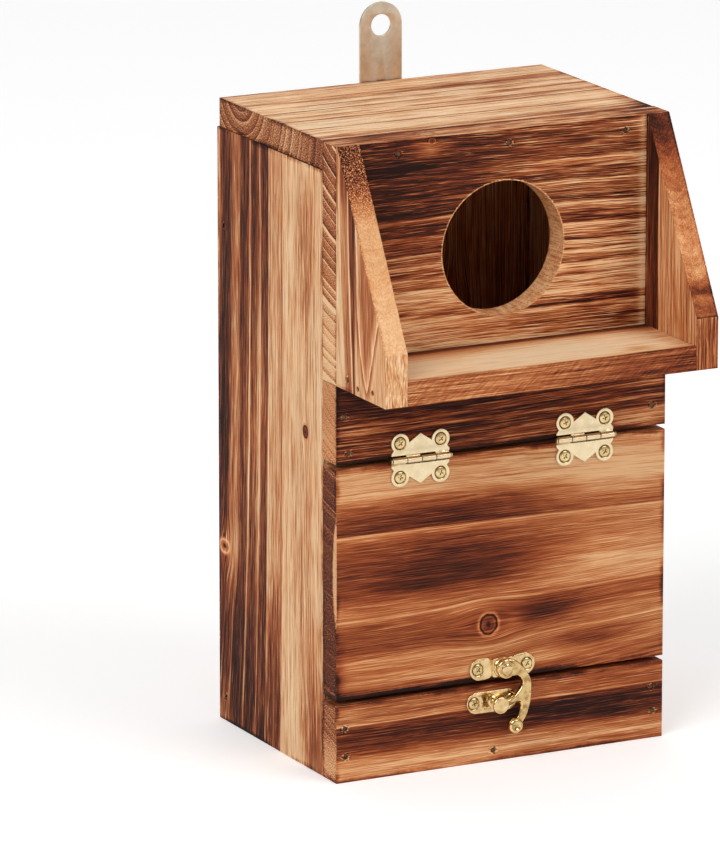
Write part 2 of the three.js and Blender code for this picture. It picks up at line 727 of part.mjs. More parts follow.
// Keeper plate and stud on the bottom rail, about the middle of the plate
function keeperPlateSolid() {
  const end = keeper_length / 2 - keeper_width / 2;
  const round = keeper_width / 2;
  const outline = new THREE.Shape();
  outline.moveTo(end, round);
  outline.absarc(end, 0, round, Math.PI / 2, -Math.PI / 2, true);
  outline.lineTo(-end, -round);
  outline.absarc(-end, 0, round, Math.PI * 3 / 2, Math.PI / 2, true);
  outline.closePath();
  const back = -latch_seat_gap;
  const face = back - keeper_thickness;
  const seats = [-1, 1].map((sign) => screwSeat(
    new THREE.Vector3(sign * keeper_screw_spread / 2, face, 0), into_back, hardware_screw));
  const stud_hole = roundCutter(
    new THREE.Vector3(stud_offset, cut_overrun, 0), into_front, stud_neck_radius + rivet_clearance,
    keeper_thickness + cut_overrun * 2, knuckle_sides);
  return cutAll(plateSolid(outline, face, back, plate_arc_steps), [stud_hole, ...seats]);
}

const collar_foot = -latch_seat_gap - keeper_thickness - rivet_clearance;
const stud_head_back = hook_front - stud_head_clearance;
const stud_head_front = stud_head_back - stud_head_thickness;
const stud_profile = [
  [0, stud_head_front],
  [stud_head_radius - stud_head_rounding, stud_head_front],
  [stud_head_radius, stud_head_front + stud_head_rounding],
  [stud_head_radius, stud_head_back - stud_head_rounding],
  [stud_head_radius - stud_head_rounding, stud_head_back],
  [stud_neck_radius, stud_head_back],
  [stud_neck_radius, collar_foot - stud_collar_height],
  [stud_collar_radius, collar_foot - stud_collar_height / 2],
  [stud_collar_radius, collar_foot],
  [stud_neck_radius, collar_foot],
  [stud_neck_radius, -latch_seat_gap],
  [0, -latch_seat_gap],
];
const keeper = new THREE.Group();
keeper.position.set(keeper_offset, front_face, keeper_height);
fixed_box.add(keeper);
addPiece(keeper, 'keeper_plate', geometryOf(keeperPlateSolid()), finishOf('polished_brass'));
const stud_geometry = geometryOf(turned(stud_profile, stud_sides));
const stud = addPiece(keeper, 'keeper_stud', stud_geometry, finishOf('polished_brass'));
stud.position.x = stud_offset;

// Hanger strap: round at the top about its hole, small corners at its foot
function strapSolid() {
  const half = strap_width / 2;
  const top = strap_length - half;
  const outline = new THREE.Shape();
  const corner = half - strap_foot_rounding;
  outline.moveTo(-half, top);
  outline.absarc(0, top, half, Math.PI, 0, true);
  outline.absarc(corner, strap_foot_rounding, strap_foot_rounding, 0, -Math.PI / 2, true);
  outline.absarc(-corner, strap_foot_rounding, strap_foot_rounding, -Math.PI / 2, -Math.PI, true);
  outline.closePath();
  const hole = roundCutter(
    new THREE.Vector3(0, strap_thickness + cut_overrun, top), into_front, strap_hole_radius,
    strap_thickness + cut_overrun * 2, strap_sides);
  const seats = strap_screw_names.map((name, index) => screwSeat(
    new THREE.Vector3(0, strap_thickness, strap_screw_pitch * (index + 1 / 2)), into_front, strap_screw));
  return cutAll(plateSolid(outline, 0, strap_thickness, strap_arc_steps), [hole, ...seats]);
}
const strap = addPiece(
  fixed_box, 'hanger_strap', geometryOf(strapSolid()), finishOf('nickel_steel'));
strap.position.set(0, rear_face + strap_seat_gap, strap_foot);

export default nest_box;
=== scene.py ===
# %% [markdown]
# # A scorched nest box
# The box is already built as solids: boards, hinges, a hook latch and a hanger strap, each a node of
# its own. This lesson dresses them. It starts by loading those solids, which never move: a board
# keeps its own shape and gets its wood, and small metal pieces are made again with finer edges in
# the place that their solids hold. Making all of it again would only lose the agreement in size.

# %% Load the solids
import json
import math

import bmesh
import bpy
from mathutils import Matrix, Vector


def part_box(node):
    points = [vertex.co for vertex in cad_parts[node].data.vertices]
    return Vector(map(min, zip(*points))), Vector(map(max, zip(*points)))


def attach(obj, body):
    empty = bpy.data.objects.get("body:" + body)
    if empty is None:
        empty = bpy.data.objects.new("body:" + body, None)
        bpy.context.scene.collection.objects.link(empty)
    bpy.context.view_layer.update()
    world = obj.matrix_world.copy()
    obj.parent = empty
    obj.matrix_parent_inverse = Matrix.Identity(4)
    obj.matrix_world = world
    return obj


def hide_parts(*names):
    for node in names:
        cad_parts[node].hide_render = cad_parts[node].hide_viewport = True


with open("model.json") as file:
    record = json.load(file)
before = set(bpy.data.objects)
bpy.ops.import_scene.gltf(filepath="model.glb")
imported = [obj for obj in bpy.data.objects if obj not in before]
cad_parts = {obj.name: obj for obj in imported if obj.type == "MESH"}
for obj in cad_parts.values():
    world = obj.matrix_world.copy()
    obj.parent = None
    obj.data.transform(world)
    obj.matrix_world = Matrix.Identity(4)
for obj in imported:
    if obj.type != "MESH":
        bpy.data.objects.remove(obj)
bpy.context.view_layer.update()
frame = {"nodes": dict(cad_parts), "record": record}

nodes = frame["nodes"]
body_of = {
    node: body for body, members in frame["record"]["behaviour"]["bodies"].items() for node in members
}
MM = 0.001

# %% [markdown]
# ## Camera
# The box was photographed from its left, a little above, through a long lens that keeps its edges
# almost parallel. A camera could be moved by eye until it looks right, but the place here was worked
# out from the corners of the box: a turn to the left, a tilt down and a distance from one point.

# %% Camera
view_turn = math.radians(-26.97)
view_tilt = math.radians(14.24)
view_distance = 2.877
view_target = Vector((-0.0348, -0.0004, 0.1240))


def show(name, data):
    """Puts a mesh, a curve, a lamp or a camera into the scene as an object of its own."""
    shown = bpy.data.objects.new(name, data)
    bpy.context.scene.collection.objects.link(shown)
    return shown


def look_from(viewer, turn, tilt, distance, target):
    """Lays a camera or a lamp so that it looks at a target. The turn is from the front to the right."""
    away = Vector((
        math.sin(turn) * math.cos(tilt), -math.cos(turn) * math.cos(tilt), math.sin(tilt)))
    viewer.location = target + away * distance
    viewer.rotation_euler = (-away).to_track_quat("-Z", "Y").to_euler()


camera_data = bpy.data.cameras.new("camera")
camera_data.sensor_width = 36
camera_data.lens = 320.86
camera_data.clip_end = 100
camera = show("camera", camera_data)
look_from(camera, view_turn, view_tilt, view_distance, view_target)
bpy.context.scene.camera = camera
bpy.context.scene.view_settings.view_transform = "Standard"
print("camera at", [round(value, 3) for value in camera.location])

# %% [markdown]
# ## A small helper for node trees
# A material in Blender is a tree of nodes joined by links. Making each node by hand takes many lines,
# so one helper adds a node, feeds its inputs with numbers or with other nodes' outputs, and gives its
# output back. Sums of nodes then read almost like sums of numbers.

# %% Node helper
class Net:
    """Writes one node tree. Each call adds a node and returns its output."""

    def __init__(self, tree):
        self.tree = tree

    def feed(self, socket, value):
        if isinstance(value, bpy.types.NodeSocket):
            self.tree.links.new(value, socket)
        else:
            socket.default_value = value

    def node(self, kind, inputs, **settings):
        made = self.tree.nodes.new(kind)
        for name, value in settings.items():
            setattr(made, name, value)
        for name, value in inputs.items():
            self.feed(made.inputs[name], value)
        return made

    def math(self, operation, *values, clamp=False):
        inputs = dict(enumerate(values))
        return self.node("ShaderNodeMath", inputs, operation=operation, use_clamp=clamp).outputs[0]

    def add(self, *values):
        total = values[0]
        for value in values[1:]:
            total = self.math("ADD", total, value)
        return total

    def times(self, one, other):
        return self.math("MULTIPLY", one, other)

    def less(self, one, other):
        return self.math("SUBTRACT", one, other)

    def squares(self, one, other):
        """The two numbers' squares, added."""
        return self.add(self.times(one, one), self.times(other, other))

    def distance(self, one, other):
        """How far a point is that lies one to the side and the other ahead."""
        return self.math("SQRT", self.squares(one, other))

    def vector(self, x, y, z):
        return self.node("ShaderNodeCombineXYZ", {0: x, 1: y, 2: z}).outputs[0]

    def split(self, vector):
        """The parts of a vector, named X, Y and Z."""
        return self.node("ShaderNodeSeparateXYZ", {0: vector}).outputs

    def place(self, kind):
        """Where the spot is in one of Blender's own systems, such as Object or Normal."""
        return self.node("ShaderNodeTexCoord", {}).outputs[kind]

    def facing(self, axis):
        """How much the surface looks along an axis of its own object, from -1 to 1."""
        return self.split(self.place("Normal"))[axis]

    def noise(self, vector, scale=1.0, detail=3.0, roughness=0.55):
        inputs = {"Vector": vector, "Scale": scale, "Detail": detail, "Roughness": roughness}
        return self.node("ShaderNodeTexNoise", inputs).outputs[0]

    def swing(self, vector, **looks):
        """Noise that swings to both sides of zero."""
        return self.less(self.noise(vector, **looks), 0.5)

    def fade(self, value, low, high, start=0.0, end=1.0):
        """A smooth step from start to end as value runs from low to high."""
        inputs = {0: value, 1: low, 2: high, 3: start, 4: end}
        return self.node("ShaderNodeMapRange", inputs, interpolation_type="SMOOTHSTEP").outputs[0]

    def blend(self, share, one, other):
        """A number between one and other."""
        return self.node("ShaderNodeMix", {0: share, 2: one, 3: other}, data_type="FLOAT").outputs[0]

    def tint(self, share, one, other, how="MIX"):
        """A colour between one and other."""
        inputs = {0: share, 6: one, 7: other}
        return self.node("ShaderNodeMix", inputs, data_type="RGBA", blend_type=how).outputs[2]

    def ramp(self, value, stops):
        """A curve of straight pieces. A stop is a place from 0 to 1 and a grey level or a colour."""
        made = self.node("ShaderNodeValToRGB", {0: value})
        elements = made.color_ramp.elements
        while len(elements) < len(stops):
            elements.new(1.0)
        for element, (place, level) in zip(elements, stops):
            element.position = place
            element.color = level if isinstance(level, tuple) else (level, level, level, 1)
        return made.outputs[0]

    def group(self, tree, inputs):
        return self.node("ShaderNodeGroup", inputs, node_tree=tree).outputs


print("node helper with", len([name for name in vars(Net) if not name.startswith("_")]), "calls")

# %% [markdown]
# A look that several materials share, such as grain or scratches, is a node group with named inputs
# and outputs. What differs from board to board is then a number on an input. Copied trees would look
# the same, but each change would have to be made in every copy.

# %% Groups, materials and colours
def start_group(name, inputs, outputs):
    """A new node group with number inputs and the given outputs, open for writing."""
    tree = bpy.data.node_groups.new(name, "ShaderNodeTree")
    for title, default in inputs.items():
        kind = "NodeSocketVector" if isinstance(default, tuple) else "NodeSocketFloat"
        tree.interface.new_socket(title, in_out="INPUT", socket_type=kind).default_value = default
    for title, kind in outputs.items():
        tree.interface.new_socket(title, in_out="OUTPUT", socket_type=kind)
    net = Net(tree)
    print(name, "takes", len(inputs), "inputs and gives", ", ".join(outputs))
    return net, tree.nodes.new("NodeGroupInput").outputs, tree.nodes.new("NodeGroupOutput").inputs


def start_material(name):
    """A new material, its tree open for writing, and the shader that stands in it."""
    material = bpy.data.materials.new(name)
    material.use_nodes = True
    return material, Net(material.node_tree), material.node_tree.nodes["Principled BSDF"]


def colour(red, green, blue):
    """A colour picked on a screen, from 0 to 255, as the light value that a node takes."""
    def light(level):
        share = level / 255
        return share / 12.92 if share <= 0.04045 else ((share + 0.055) / 1.055) ** 2.4
    return (light(red), light(green), light(blue), 1)


FLOAT = "NodeSocketFloat"
print("white is", colour(255, 255, 255))

# %% [markdown]
# ## Studio
# The box stands alone on a white ground in soft light, with a narrow shadow at its foot. One wide
# floor is enough, because the camera looks down on it. Two large soft lamps stand in front, one to
# each side, a weak one stands behind, and a pale world fills the rest. More light would whiten the
# floor too, but it would bleach the box. So the white comes from the floor's own colour, with a
# little added for rays that show it, and the shadow stays.

# %% Floor
floor_mesh = bpy.data.meshes.new("floor")
floor_reach = 8.0
floor_mesh.from_pydata(
    [(x * floor_reach, y * floor_reach, 0) for x, y in ((-1, -1), (1, -1), (1, 1), (-1, 1))],
    [], [(0, 1, 2, 3)])
floor = show("floor", floor_mesh)
floor.location.z = -0.1 * MM

paper_white, paper_lift = 0.88, 0.26
paper = bpy.data.materials.new("white_paper")
paper.use_nodes = True
paper.node_tree.nodes.clear()
net = Net(paper.node_tree)
rays = net.node("ShaderNodeLightPath", {}).outputs
shown = net.math("MAXIMUM", rays["Is Camera Ray"], rays["Is Glossy Ray"])
shown = net.math("MAXIMUM", shown, rays["Is Transmission Ray"])
matt = net.node("ShaderNodeBsdfDiffuse", {"Color": (*[paper_white] * 3, 1)}).outputs[0]
lift = net.node("ShaderNodeEmission", {"Strength": net.times(shown, paper_lift)}).outputs[0]
both = net.node("ShaderNodeAddShader", {0: matt, 1: lift}).outputs[0]
net.node("ShaderNodeOutputMaterial", {"Surface": both})
floor_mesh.materials.append(paper)
print("floor of", 2 * floor_reach, "m")

# %% [markdown]
# Polished brass shows what is round it more than its own colour. An even world would leave it flat.
# So the world is pale up to the horizon, darker above it and paler again overhead.

# %% World
world = bpy.data.worlds.new("studio")
bpy.context.scene.world = world
world.use_nodes = True
world.node_tree.nodes.clear()
net = Net(world.node_tree)
height = net.split(net.place("Generated"))["Z"]
sky = net.ramp(net.fade(height, -1, 1), [
    (0.0, 0.95), (0.5, 0.95), (0.56, 0.9), (0.66, 0.34), (0.8, 0.4), (1.0, 0.8)])
background = net.node("ShaderNodeBackground", {"Color": sky, "Strength": 0.75}).outputs[0]
net.node("ShaderNodeOutputWorld", {"Surface": background})
print("world of", len(net.tree.nodes), "nodes")

# %% [markdown]
# The lamps are wide squares, as a studio's soft boxes are. Small lamps would give as much light, but
# their shadows have hard edges. Each is given by its turn and tilt about the box, like the camera.

# %% Lamps
lamp_distance, lamp_width = 3.0, 1.7
box_middle = Vector((0, 0, 0.12))


def soft_lamp(name, turn, tilt, power):
    """A square soft lamp that looks at the middle of the box."""
    data = bpy.data.lights.new(name, "AREA")
    data.shape = "RECTANGLE"
    data.size = lamp_width
    data.size_y = lamp_width
    data.energy = power
    look_from(show(name, data), math.radians(turn), math.radians(tilt), lamp_distance, box_middle)


soft_lamp("left_lamp", turn=-58, tilt=40, power=40)
soft_lamp("right_lamp", turn=30, tilt=38, power=27)
soft_lamp("rear_lamp", turn=165, tilt=50, power=10)
print("lamps:", len(bpy.data.lights))

# %% [markdown]
# ## The wood's grain
# Each board was sawn from a small softwood trunk, passed through a flame and brushed. The flame eats
# the soft part of every year ring first, so the rings show as dark bands that end in a thin light
# line. A photograph could be laid on the boards, but it would stretch round the corners and could
# not be lit again. Here the pattern is worked out from the place inside the board, in millimetres:
# along the grain, across the face and in depth. Faces, edges and ends then agree, as in real wood,
# and the same groups serve boards of any size.
#
# First come the shared effects, each a node group. The first bends the lines: real grain leans to
# one side towards an end, waves a little, and swings round a knot.

# %% Bent grain
net, given, result = start_group("Bent grain", {
    "Along": 0.0, "Across": 0.0, "Length": 100.0, "Lean": 0.0, "Spread": 0.0, "Wave": 1.0, "Push": 0.0,
    "Seed": 0.0}, {"Bent": FLOAT})
share = net.math("DIVIDE", given["Along"], given["Length"])
lean = net.add(given["Lean"], net.times(given["Spread"], given["Across"]))
lean = net.times(lean, net.times(share, share))
slow_place = net.vector(
    net.times(given["Along"], 0.011), net.times(given["Across"], 0.02), net.times(given["Seed"], 7.3))
slow = net.swing(slow_place, detail=1.0)
quick_place = net.vector(
    net.times(given["Along"], 0.05), net.times(given["Across"], 0.12), net.times(given["Seed"], 3.1))
quick = net.swing(quick_place, detail=2.0)
wave = net.times(net.add(net.times(slow, 2.0), net.times(quick, 0.7)), given["Wave"])
bent = net.less(net.add(given["Across"], lean, wave), given["Push"])
net.feed(result["Bent"], bent)
bent_grain = net.tree

# %% [markdown]
# A knot is the foot of a branch. It was a hard round peg when the trunk grew round it, so it has a
# dark bark line at its rim, a pale halo of swirled wood outside and a dark heart. The group gives
# the push that bends the lines round it, its own darkness, and a mask of where it shows.

# %% Knot
net, given, result = start_group("Knot", {
    "Along": 0.0, "Across": 0.0, "Depth": 0.0, "Middle along": 0.0, "Middle across": 0.0, "Size": 3.0,
    "Long": 1.0, "Bark": 1.0}, {"Push": FLOAT, "Char": FLOAT, "Mask": FLOAT})
ahead = net.less(given["Along"], given["Middle along"])
aside = net.less(given["Across"], given["Middle across"])
push_long, push_wide, knot_span = 3.2, 2.0, 2.4
far_ahead = net.math("DIVIDE", ahead, net.times(given["Size"], push_long))
far_aside = net.math("DIVIDE", aside, net.times(given["Size"], push_wide))
reach = net.math("EXPONENT", net.times(net.squares(far_ahead, far_aside), -1.0))
net.feed(result["Push"], net.times(net.times(aside, reach), 0.75))
near_ahead = net.math("DIVIDE", ahead, net.times(given["Size"], given["Long"]))
near_aside = net.math("DIVIDE", aside, given["Size"])
wobble = net.swing(net.vector(ahead, aside, given["Size"]), scale=0.35, detail=2.0)
distance = net.add(net.distance(near_ahead, near_aside), net.times(wobble, 0.3))
share = net.math("DIVIDE", distance, knot_span)
heart = net.ramp(share, [
    (0.0, 0.92), (0.08, 0.86), (0.14, 0.6), (0.24, 0.46), (0.33, 0.4), (0.38, 0.16), (0.42, 0.14),
    (0.47, 0.34), (0.62, 0.42), (1.0, 0.45)])
bark = net.ramp(share, [
    (0.0, 0.04), (0.1, 0.06), (0.16, 0.16), (0.24, 0.3), (0.28, 0.2), (0.34, 0.34), (0.38, 0.78),
    (0.42, 0.84), (0.455, 0.2), (0.5, 0.02), (1.0, 0.0)])
net.feed(result["Char"], net.add(heart, net.times(bark, given["Bark"])))
net.feed(result["Mask"], net.fade(distance, 1.6, 1.05))
knot_group = net.tree

# %% [markdown]
# Year rings are long cones round the trunk's middle, the pith. A board shows them as lines on its
# face and as arcs on its ends. One distance from the pith gives both. Inside a ring the darkness
# climbs slowly, then drops at once to a thin light line. A ready-made wood texture would show
# even rings, while these vary in width and strength from one to the next.

# %% Year rings
net, given, result = start_group("Year rings", {
    "Along": 0.0, "Bent": 0.0, "Depth": 0.0, "Pith across": -40.0, "Pith height": 30.0, "Spacing": 4.0,
    "Taper": 0.0, "Seed": 0.0}, {"Tooth": FLOAT, "Line": FLOAT})
flat = net.less(given["Bent"], given["Pith across"])
deep = net.add(given["Depth"], given["Pith height"])
radius = net.add(net.distance(flat, deep), net.times(given["Along"], given["Taper"]))
uneven_place = net.vector(
    net.times(radius, 0.13), net.times(given["Along"], 0.008), given["Seed"])
uneven = net.times(net.swing(uneven_place, detail=2.0), given["Spacing"])
ragged_place = net.vector(
    net.times(given["Along"], 0.25), net.times(given["Bent"], 0.9), net.times(given["Depth"], 0.9))
ragged = net.times(net.swing(ragged_place, detail=2.0), 0.55)
count = net.math("DIVIDE", net.add(radius, net.times(uneven, 2.2), ragged), given["Spacing"])
part = net.math("FRACT", count)
ring = net.add(net.math("FLOOR", count), given["Seed"])
chance = net.node("ShaderNodeTexWhiteNoise", {"W": ring}, noise_dimensions="1D").outputs["Value"]
strength = net.add(net.times(chance, 0.8), 0.2)
tooth = net.ramp(part, [(0.0, 0.15), (0.1, 0.35), (0.6, 0.62), (0.84, 1.0), (0.9, 0.95), (0.945, 0.1)])
net.feed(result["Tooth"], net.times(net.less(tooth, 0.5), strength))
line = net.ramp(part, [(0.0, 0.6), (0.05, 0.0), (0.89, 0.0), (0.94, 1.0), (1.0, 0.7)])
net.feed(result["Line"], net.times(line, strength))
year_rings = net.tree

# %% [markdown]
# Between the rings the wood is made of fibres. The wire brush pulls the charred ones out and leaves
# short light nicks. Noise that is stretched far along the grain gives streaks, a second one with a
# threshold gives the nicks, and both give the height that the light catches.

# %% Fibres
net, given, result = start_group("Fibres", {
    "Along": 0.0, "Bent": 0.0, "Depth": 0.0, "Seed": 0.0},
    {"Streak": FLOAT, "Nick": FLOAT, "Height": FLOAT})


def stretched(length, width, shift, detail):
    """Noise drawn out along the grain, with grains of about that length and width in millimetres."""
    place = net.vector(
        net.add(net.times(given["Along"], 1 / length), net.times(given["Seed"], 5.7)),
        net.add(net.times(given["Bent"], 1 / width), shift),
        net.times(given["Depth"], 1 / width))
    return net.noise(place, detail=detail, roughness=0.6)


broad = net.less(stretched(80, 2.4, 0.0, 2.0), 0.5)
middle = net.less(stretched(44, 0.66, 31.0, 2.0), 0.5)
fine = net.less(stretched(20, 0.36, 57.0, 2.0), 0.5)
streak = net.add(net.times(broad, 0.9), net.times(middle, 1.2), net.times(fine, 2.7))
net.feed(result["Streak"], streak)
light = net.fade(stretched(16, 0.36, 83.0, 2.0), 0.56, 0.66)
dark = net.fade(stretched(12, 0.36, 117.0, 2.0), 0.6, 0.7)
net.feed(result["Nick"], net.less(light, net.times(dark, 0.7)))
net.feed(result["Height"], net.add(middle, net.times(fine, 1.2), net.times(light, 0.15)))
fibres = net.tree

# %% [markdown]
# A flame catches the sharp edges of a board first and chars them, and handling knocks small pale
# chips off them again. On a face, the distance to the nearest edge is the second smallest of the
# three distances to the board's sides, so this works on every face without marking an edge.

# %% Burnt arris
net, given, result = start_group("Burnt arris", {
    "Along": 0.0, "Across": 0.0, "Depth": 0.0, "Length": 100.0, "Width": 30.0, "Thick": 11.0,
    "Reach": 2.0, "Seed": 0.0}, {"Burn": FLOAT, "Chip": FLOAT})
off_ends = net.math("MINIMUM", given["Along"], net.less(given["Length"], given["Along"]))
off_sides = net.math("MINIMUM", given["Across"], net.less(given["Width"], given["Across"]))
off_faces = net.math("MINIMUM", given["Depth"], net.less(given["Thick"], given["Depth"]))
least = net.math("MINIMUM", off_ends, off_sides)
most = net.math("MAXIMUM", off_ends, off_sides)
edge = net.math("MAXIMUM", least, net.math("MINIMUM", most, off_faces))
spot = net.vector(
    net.add(given["Along"], net.times(given["Seed"], 41.0)), given["Across"], given["Depth"])
patch = net.fade(net.noise(spot, scale=0.045, detail=2.0), 0.4, 0.62)
rough = net.add(net.times(net.noise(spot, scale=0.5, detail=3.0), 1.5), 0.2)
burn = net.fade(edge, 0.0, net.times(rough, given["Reach"]), 1.0, 0.0)
net.feed(result["Burn"], net.times(burn, patch))
bite = net.fade(net.noise(spot, scale=0.9, detail=2.0), 0.56, 0.66)
net.feed(result["Chip"], net.times(net.fade(edge, 0.35, 0.75, 1.0, 0.0), bite))
burnt_arris = net.tree

# %% [markdown]
# A nail driven through brushed wood tears the fibres round its head. They stand up in short pale
# splinters with a pit beside them, drawn out along the grain, and the pit gets painted shade. They are
# too fine for a shape of their own, so one noise with two thresholds tells splinter from pit.

# %% Torn fibres round a nail
net, given, result = start_group("Torn fibres", {
    "Along": 0.0, "Across": 0.0, "Middle along": 0.0, "Middle across": 0.0}, {"Change": FLOAT})
torn_long, torn_wide = 2.3, 1.7
ahead = net.math("DIVIDE", net.less(given["Along"], given["Middle along"]), torn_long)
aside = net.math("DIVIDE", net.less(given["Across"], given["Middle across"]), torn_wide)
near = net.fade(net.distance(ahead, aside), 1.25, 0.5)
torn_place = net.vector(given["Along"], net.times(given["Across"], 1.8), 0.0)
torn = net.noise(torn_place, scale=0.9, detail=2.0)
# The pit is painted shade: darker char where a hollow would lie in shade, with no hollow made.
painted_pit_shade = net.times(net.times(near, net.fade(torn, 0.5, 0.4)), 0.35)
splinter = net.times(net.times(near, net.fade(torn, 0.52, 0.62)), 0.5)
net.feed(result["Change"], net.less(painted_pit_shade, splinter))
torn_fibres = net.tree

# %% [markdown]
# Last, one scale of colour serves every board. From 0 to 1 it runs from the pale line that the
# brush lays bare, through honey and fox brown, to the near black of char. Char is matt, and the
# hard pale lines shine a little, so the roughness follows the same number.

# %% Scorched tone
net, given, result = start_group(
    "Scorched tone", {"Char": 0.4, "Red": 0.5}, {"Color": "NodeSocketColor", "Roughness": FLOAT})
tone = net.ramp(given["Char"], [
    (0.0, colour(255, 238, 212)), (0.13, colour(243, 206, 161)), (0.28, colour(224, 169, 119)),
    (0.42, colour(198, 127, 78)), (0.54, colour(169, 94, 52)), (0.66, colour(136, 65, 34)),
    (0.8, colour(93, 40, 22)), (0.9, colour(57, 26, 17)), (1.0, colour(32, 15, 11))])
redder = net.tint(given["Red"], (0.97, 1.02, 1.04, 1), (1.05, 0.95, 0.87, 1))
net.feed(result["Color"], net.tint(1.0, tone, redder, "MULTIPLY"))
net.feed(result["Roughness"], net.fade(given["Char"], 0.0, 1.0, 0.52, 0.72))
scorched_tone = net.tree
print("wood groups:", len(bpy.data.node_groups))

# %% [markdown]
# ## From groups to a board
# Each board names its own three directions, the bands on its face, its knots and the dark clouds
# that the flame left. The bands are stops across the face, in millimetres and darkness. Where the
# pattern changes from one end to the other, a second list of stops takes over along the board. One
# function builds them all, so a change to the wood's look reaches every board.
#
# First come the places. They are worked out from the box round the board's solid, so the same stops
# would still fit if the board's solid moved.

# %% Places on a board
def board_place(net, node, directions):
    """Millimetres along, across and into a board, each from the side named by a sign and an axis."""
    low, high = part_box(node)
    parts = net.split(net.place("Object"))
    places, sizes = [], []
    for sign, axis in directions:
        index = "XYZ".index(axis)
        start = low[index] if sign == "+" else high[index]
        scale = 1 / MM if sign == "+" else -1 / MM
        places.append(net.math("MULTIPLY_ADD", parts[axis], scale, -start * scale))
        sizes.append((high[index] - low[index]) / MM)
    return places, sizes


def middle_of(node):
    """The middle of the box round a node's solid, in metres."""
    return sum(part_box(node), Vector()) / 2


def place_on_board(point, node, directions):
    """The along and across of a point, in millimetres, worked out with plain numbers."""
    low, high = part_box(node)
    result = []
    for sign, axis in directions[:2]:
        index = "XYZ".index(axis)
        off = point[index] - low[index] if sign == "+" else high[index] - point[index]
        result.append(off / MM)
    return result


print("middle of the roof:", [round(value / MM, 1) for value in middle_of("roof_board")], "mm")

# %% [markdown]
# A flame leaves two kinds of dark: bands that follow the rings, and soft clouds where it stayed
# longer. A band is a stop in a list, and a cloud is a soft oval that is added on top.

# %% Bands and clouds
band_margin = 15.0


def bands(net, bent, width, stops):
    """Darkness across a board, from stops in millimetres."""
    share = net.math("DIVIDE", net.add(bent, band_margin), width + 2 * band_margin)
    return net.ramp(share, [
        ((place + band_margin) / (width + 2 * band_margin), char) for place, char in stops])


def cloud(net, along, across, middle, size, strength):
    """A soft oval of darkness, or of light where the strength is below zero."""
    ahead = net.math("DIVIDE", net.less(along, middle[0]), size[0])
    aside = net.math("DIVIDE", net.less(across, middle[1]), size[1])
    return net.times(net.math("EXPONENT", net.times(net.squares(ahead, aside), -1.0)), strength)


print("stops may lie", band_margin, "mm past a board's sides")

# %% [markdown]
# The sawn edges of a board are never quite sharp. A bevel modifier rounds them by a third of a
# millimetre and leaves the solid as it is, where a new mesh for each board would have to agree with
# it. Nails tear the fibres, so each board is told which nails go through its face.

# %% Edges and nails of a board
arris_round = 0.35


def dress_board(node, material):
    """Gives a board's own solid its wood and rounds its edges."""
    piece = nodes[node]
    piece.data.materials.clear()
    piece.data.materials.append(material)
    rounding = piece.modifiers.new("arris", "BEVEL")
    rounding.width = arris_round * MM
    rounding.segments = 2
    rounding.limit_method = "ANGLE"
    rounding.angle_limit = math.radians(30)


def tear_at_nails(net, char, face_spot, node, directions, nails):
    """Adds torn fibres round every nail whose name starts with the given words."""
    for name in nodes:
        if name.startswith(nails):
            ahead, aside = place_on_board(middle_of(name), node, directions)
            torn = net.group(torn_fibres, {**face_spot, "Middle along": ahead, "Middle across": aside})
            char = net.add(char, torn["Change"])
    return char


print("nails:", len([name for name in nodes if "_nail_" in name]))

# %% [markdown]
# Now the board itself. It starts from the bands and clouds, and the rings, fibres and knots change
# them. The sawn ends, the burnt arrises and the faces within the box are mixed in by place. What
# comes out is one number, the char, and the scale of colour turns it into wood.

# %% Scorched board
band_slant = 0.35


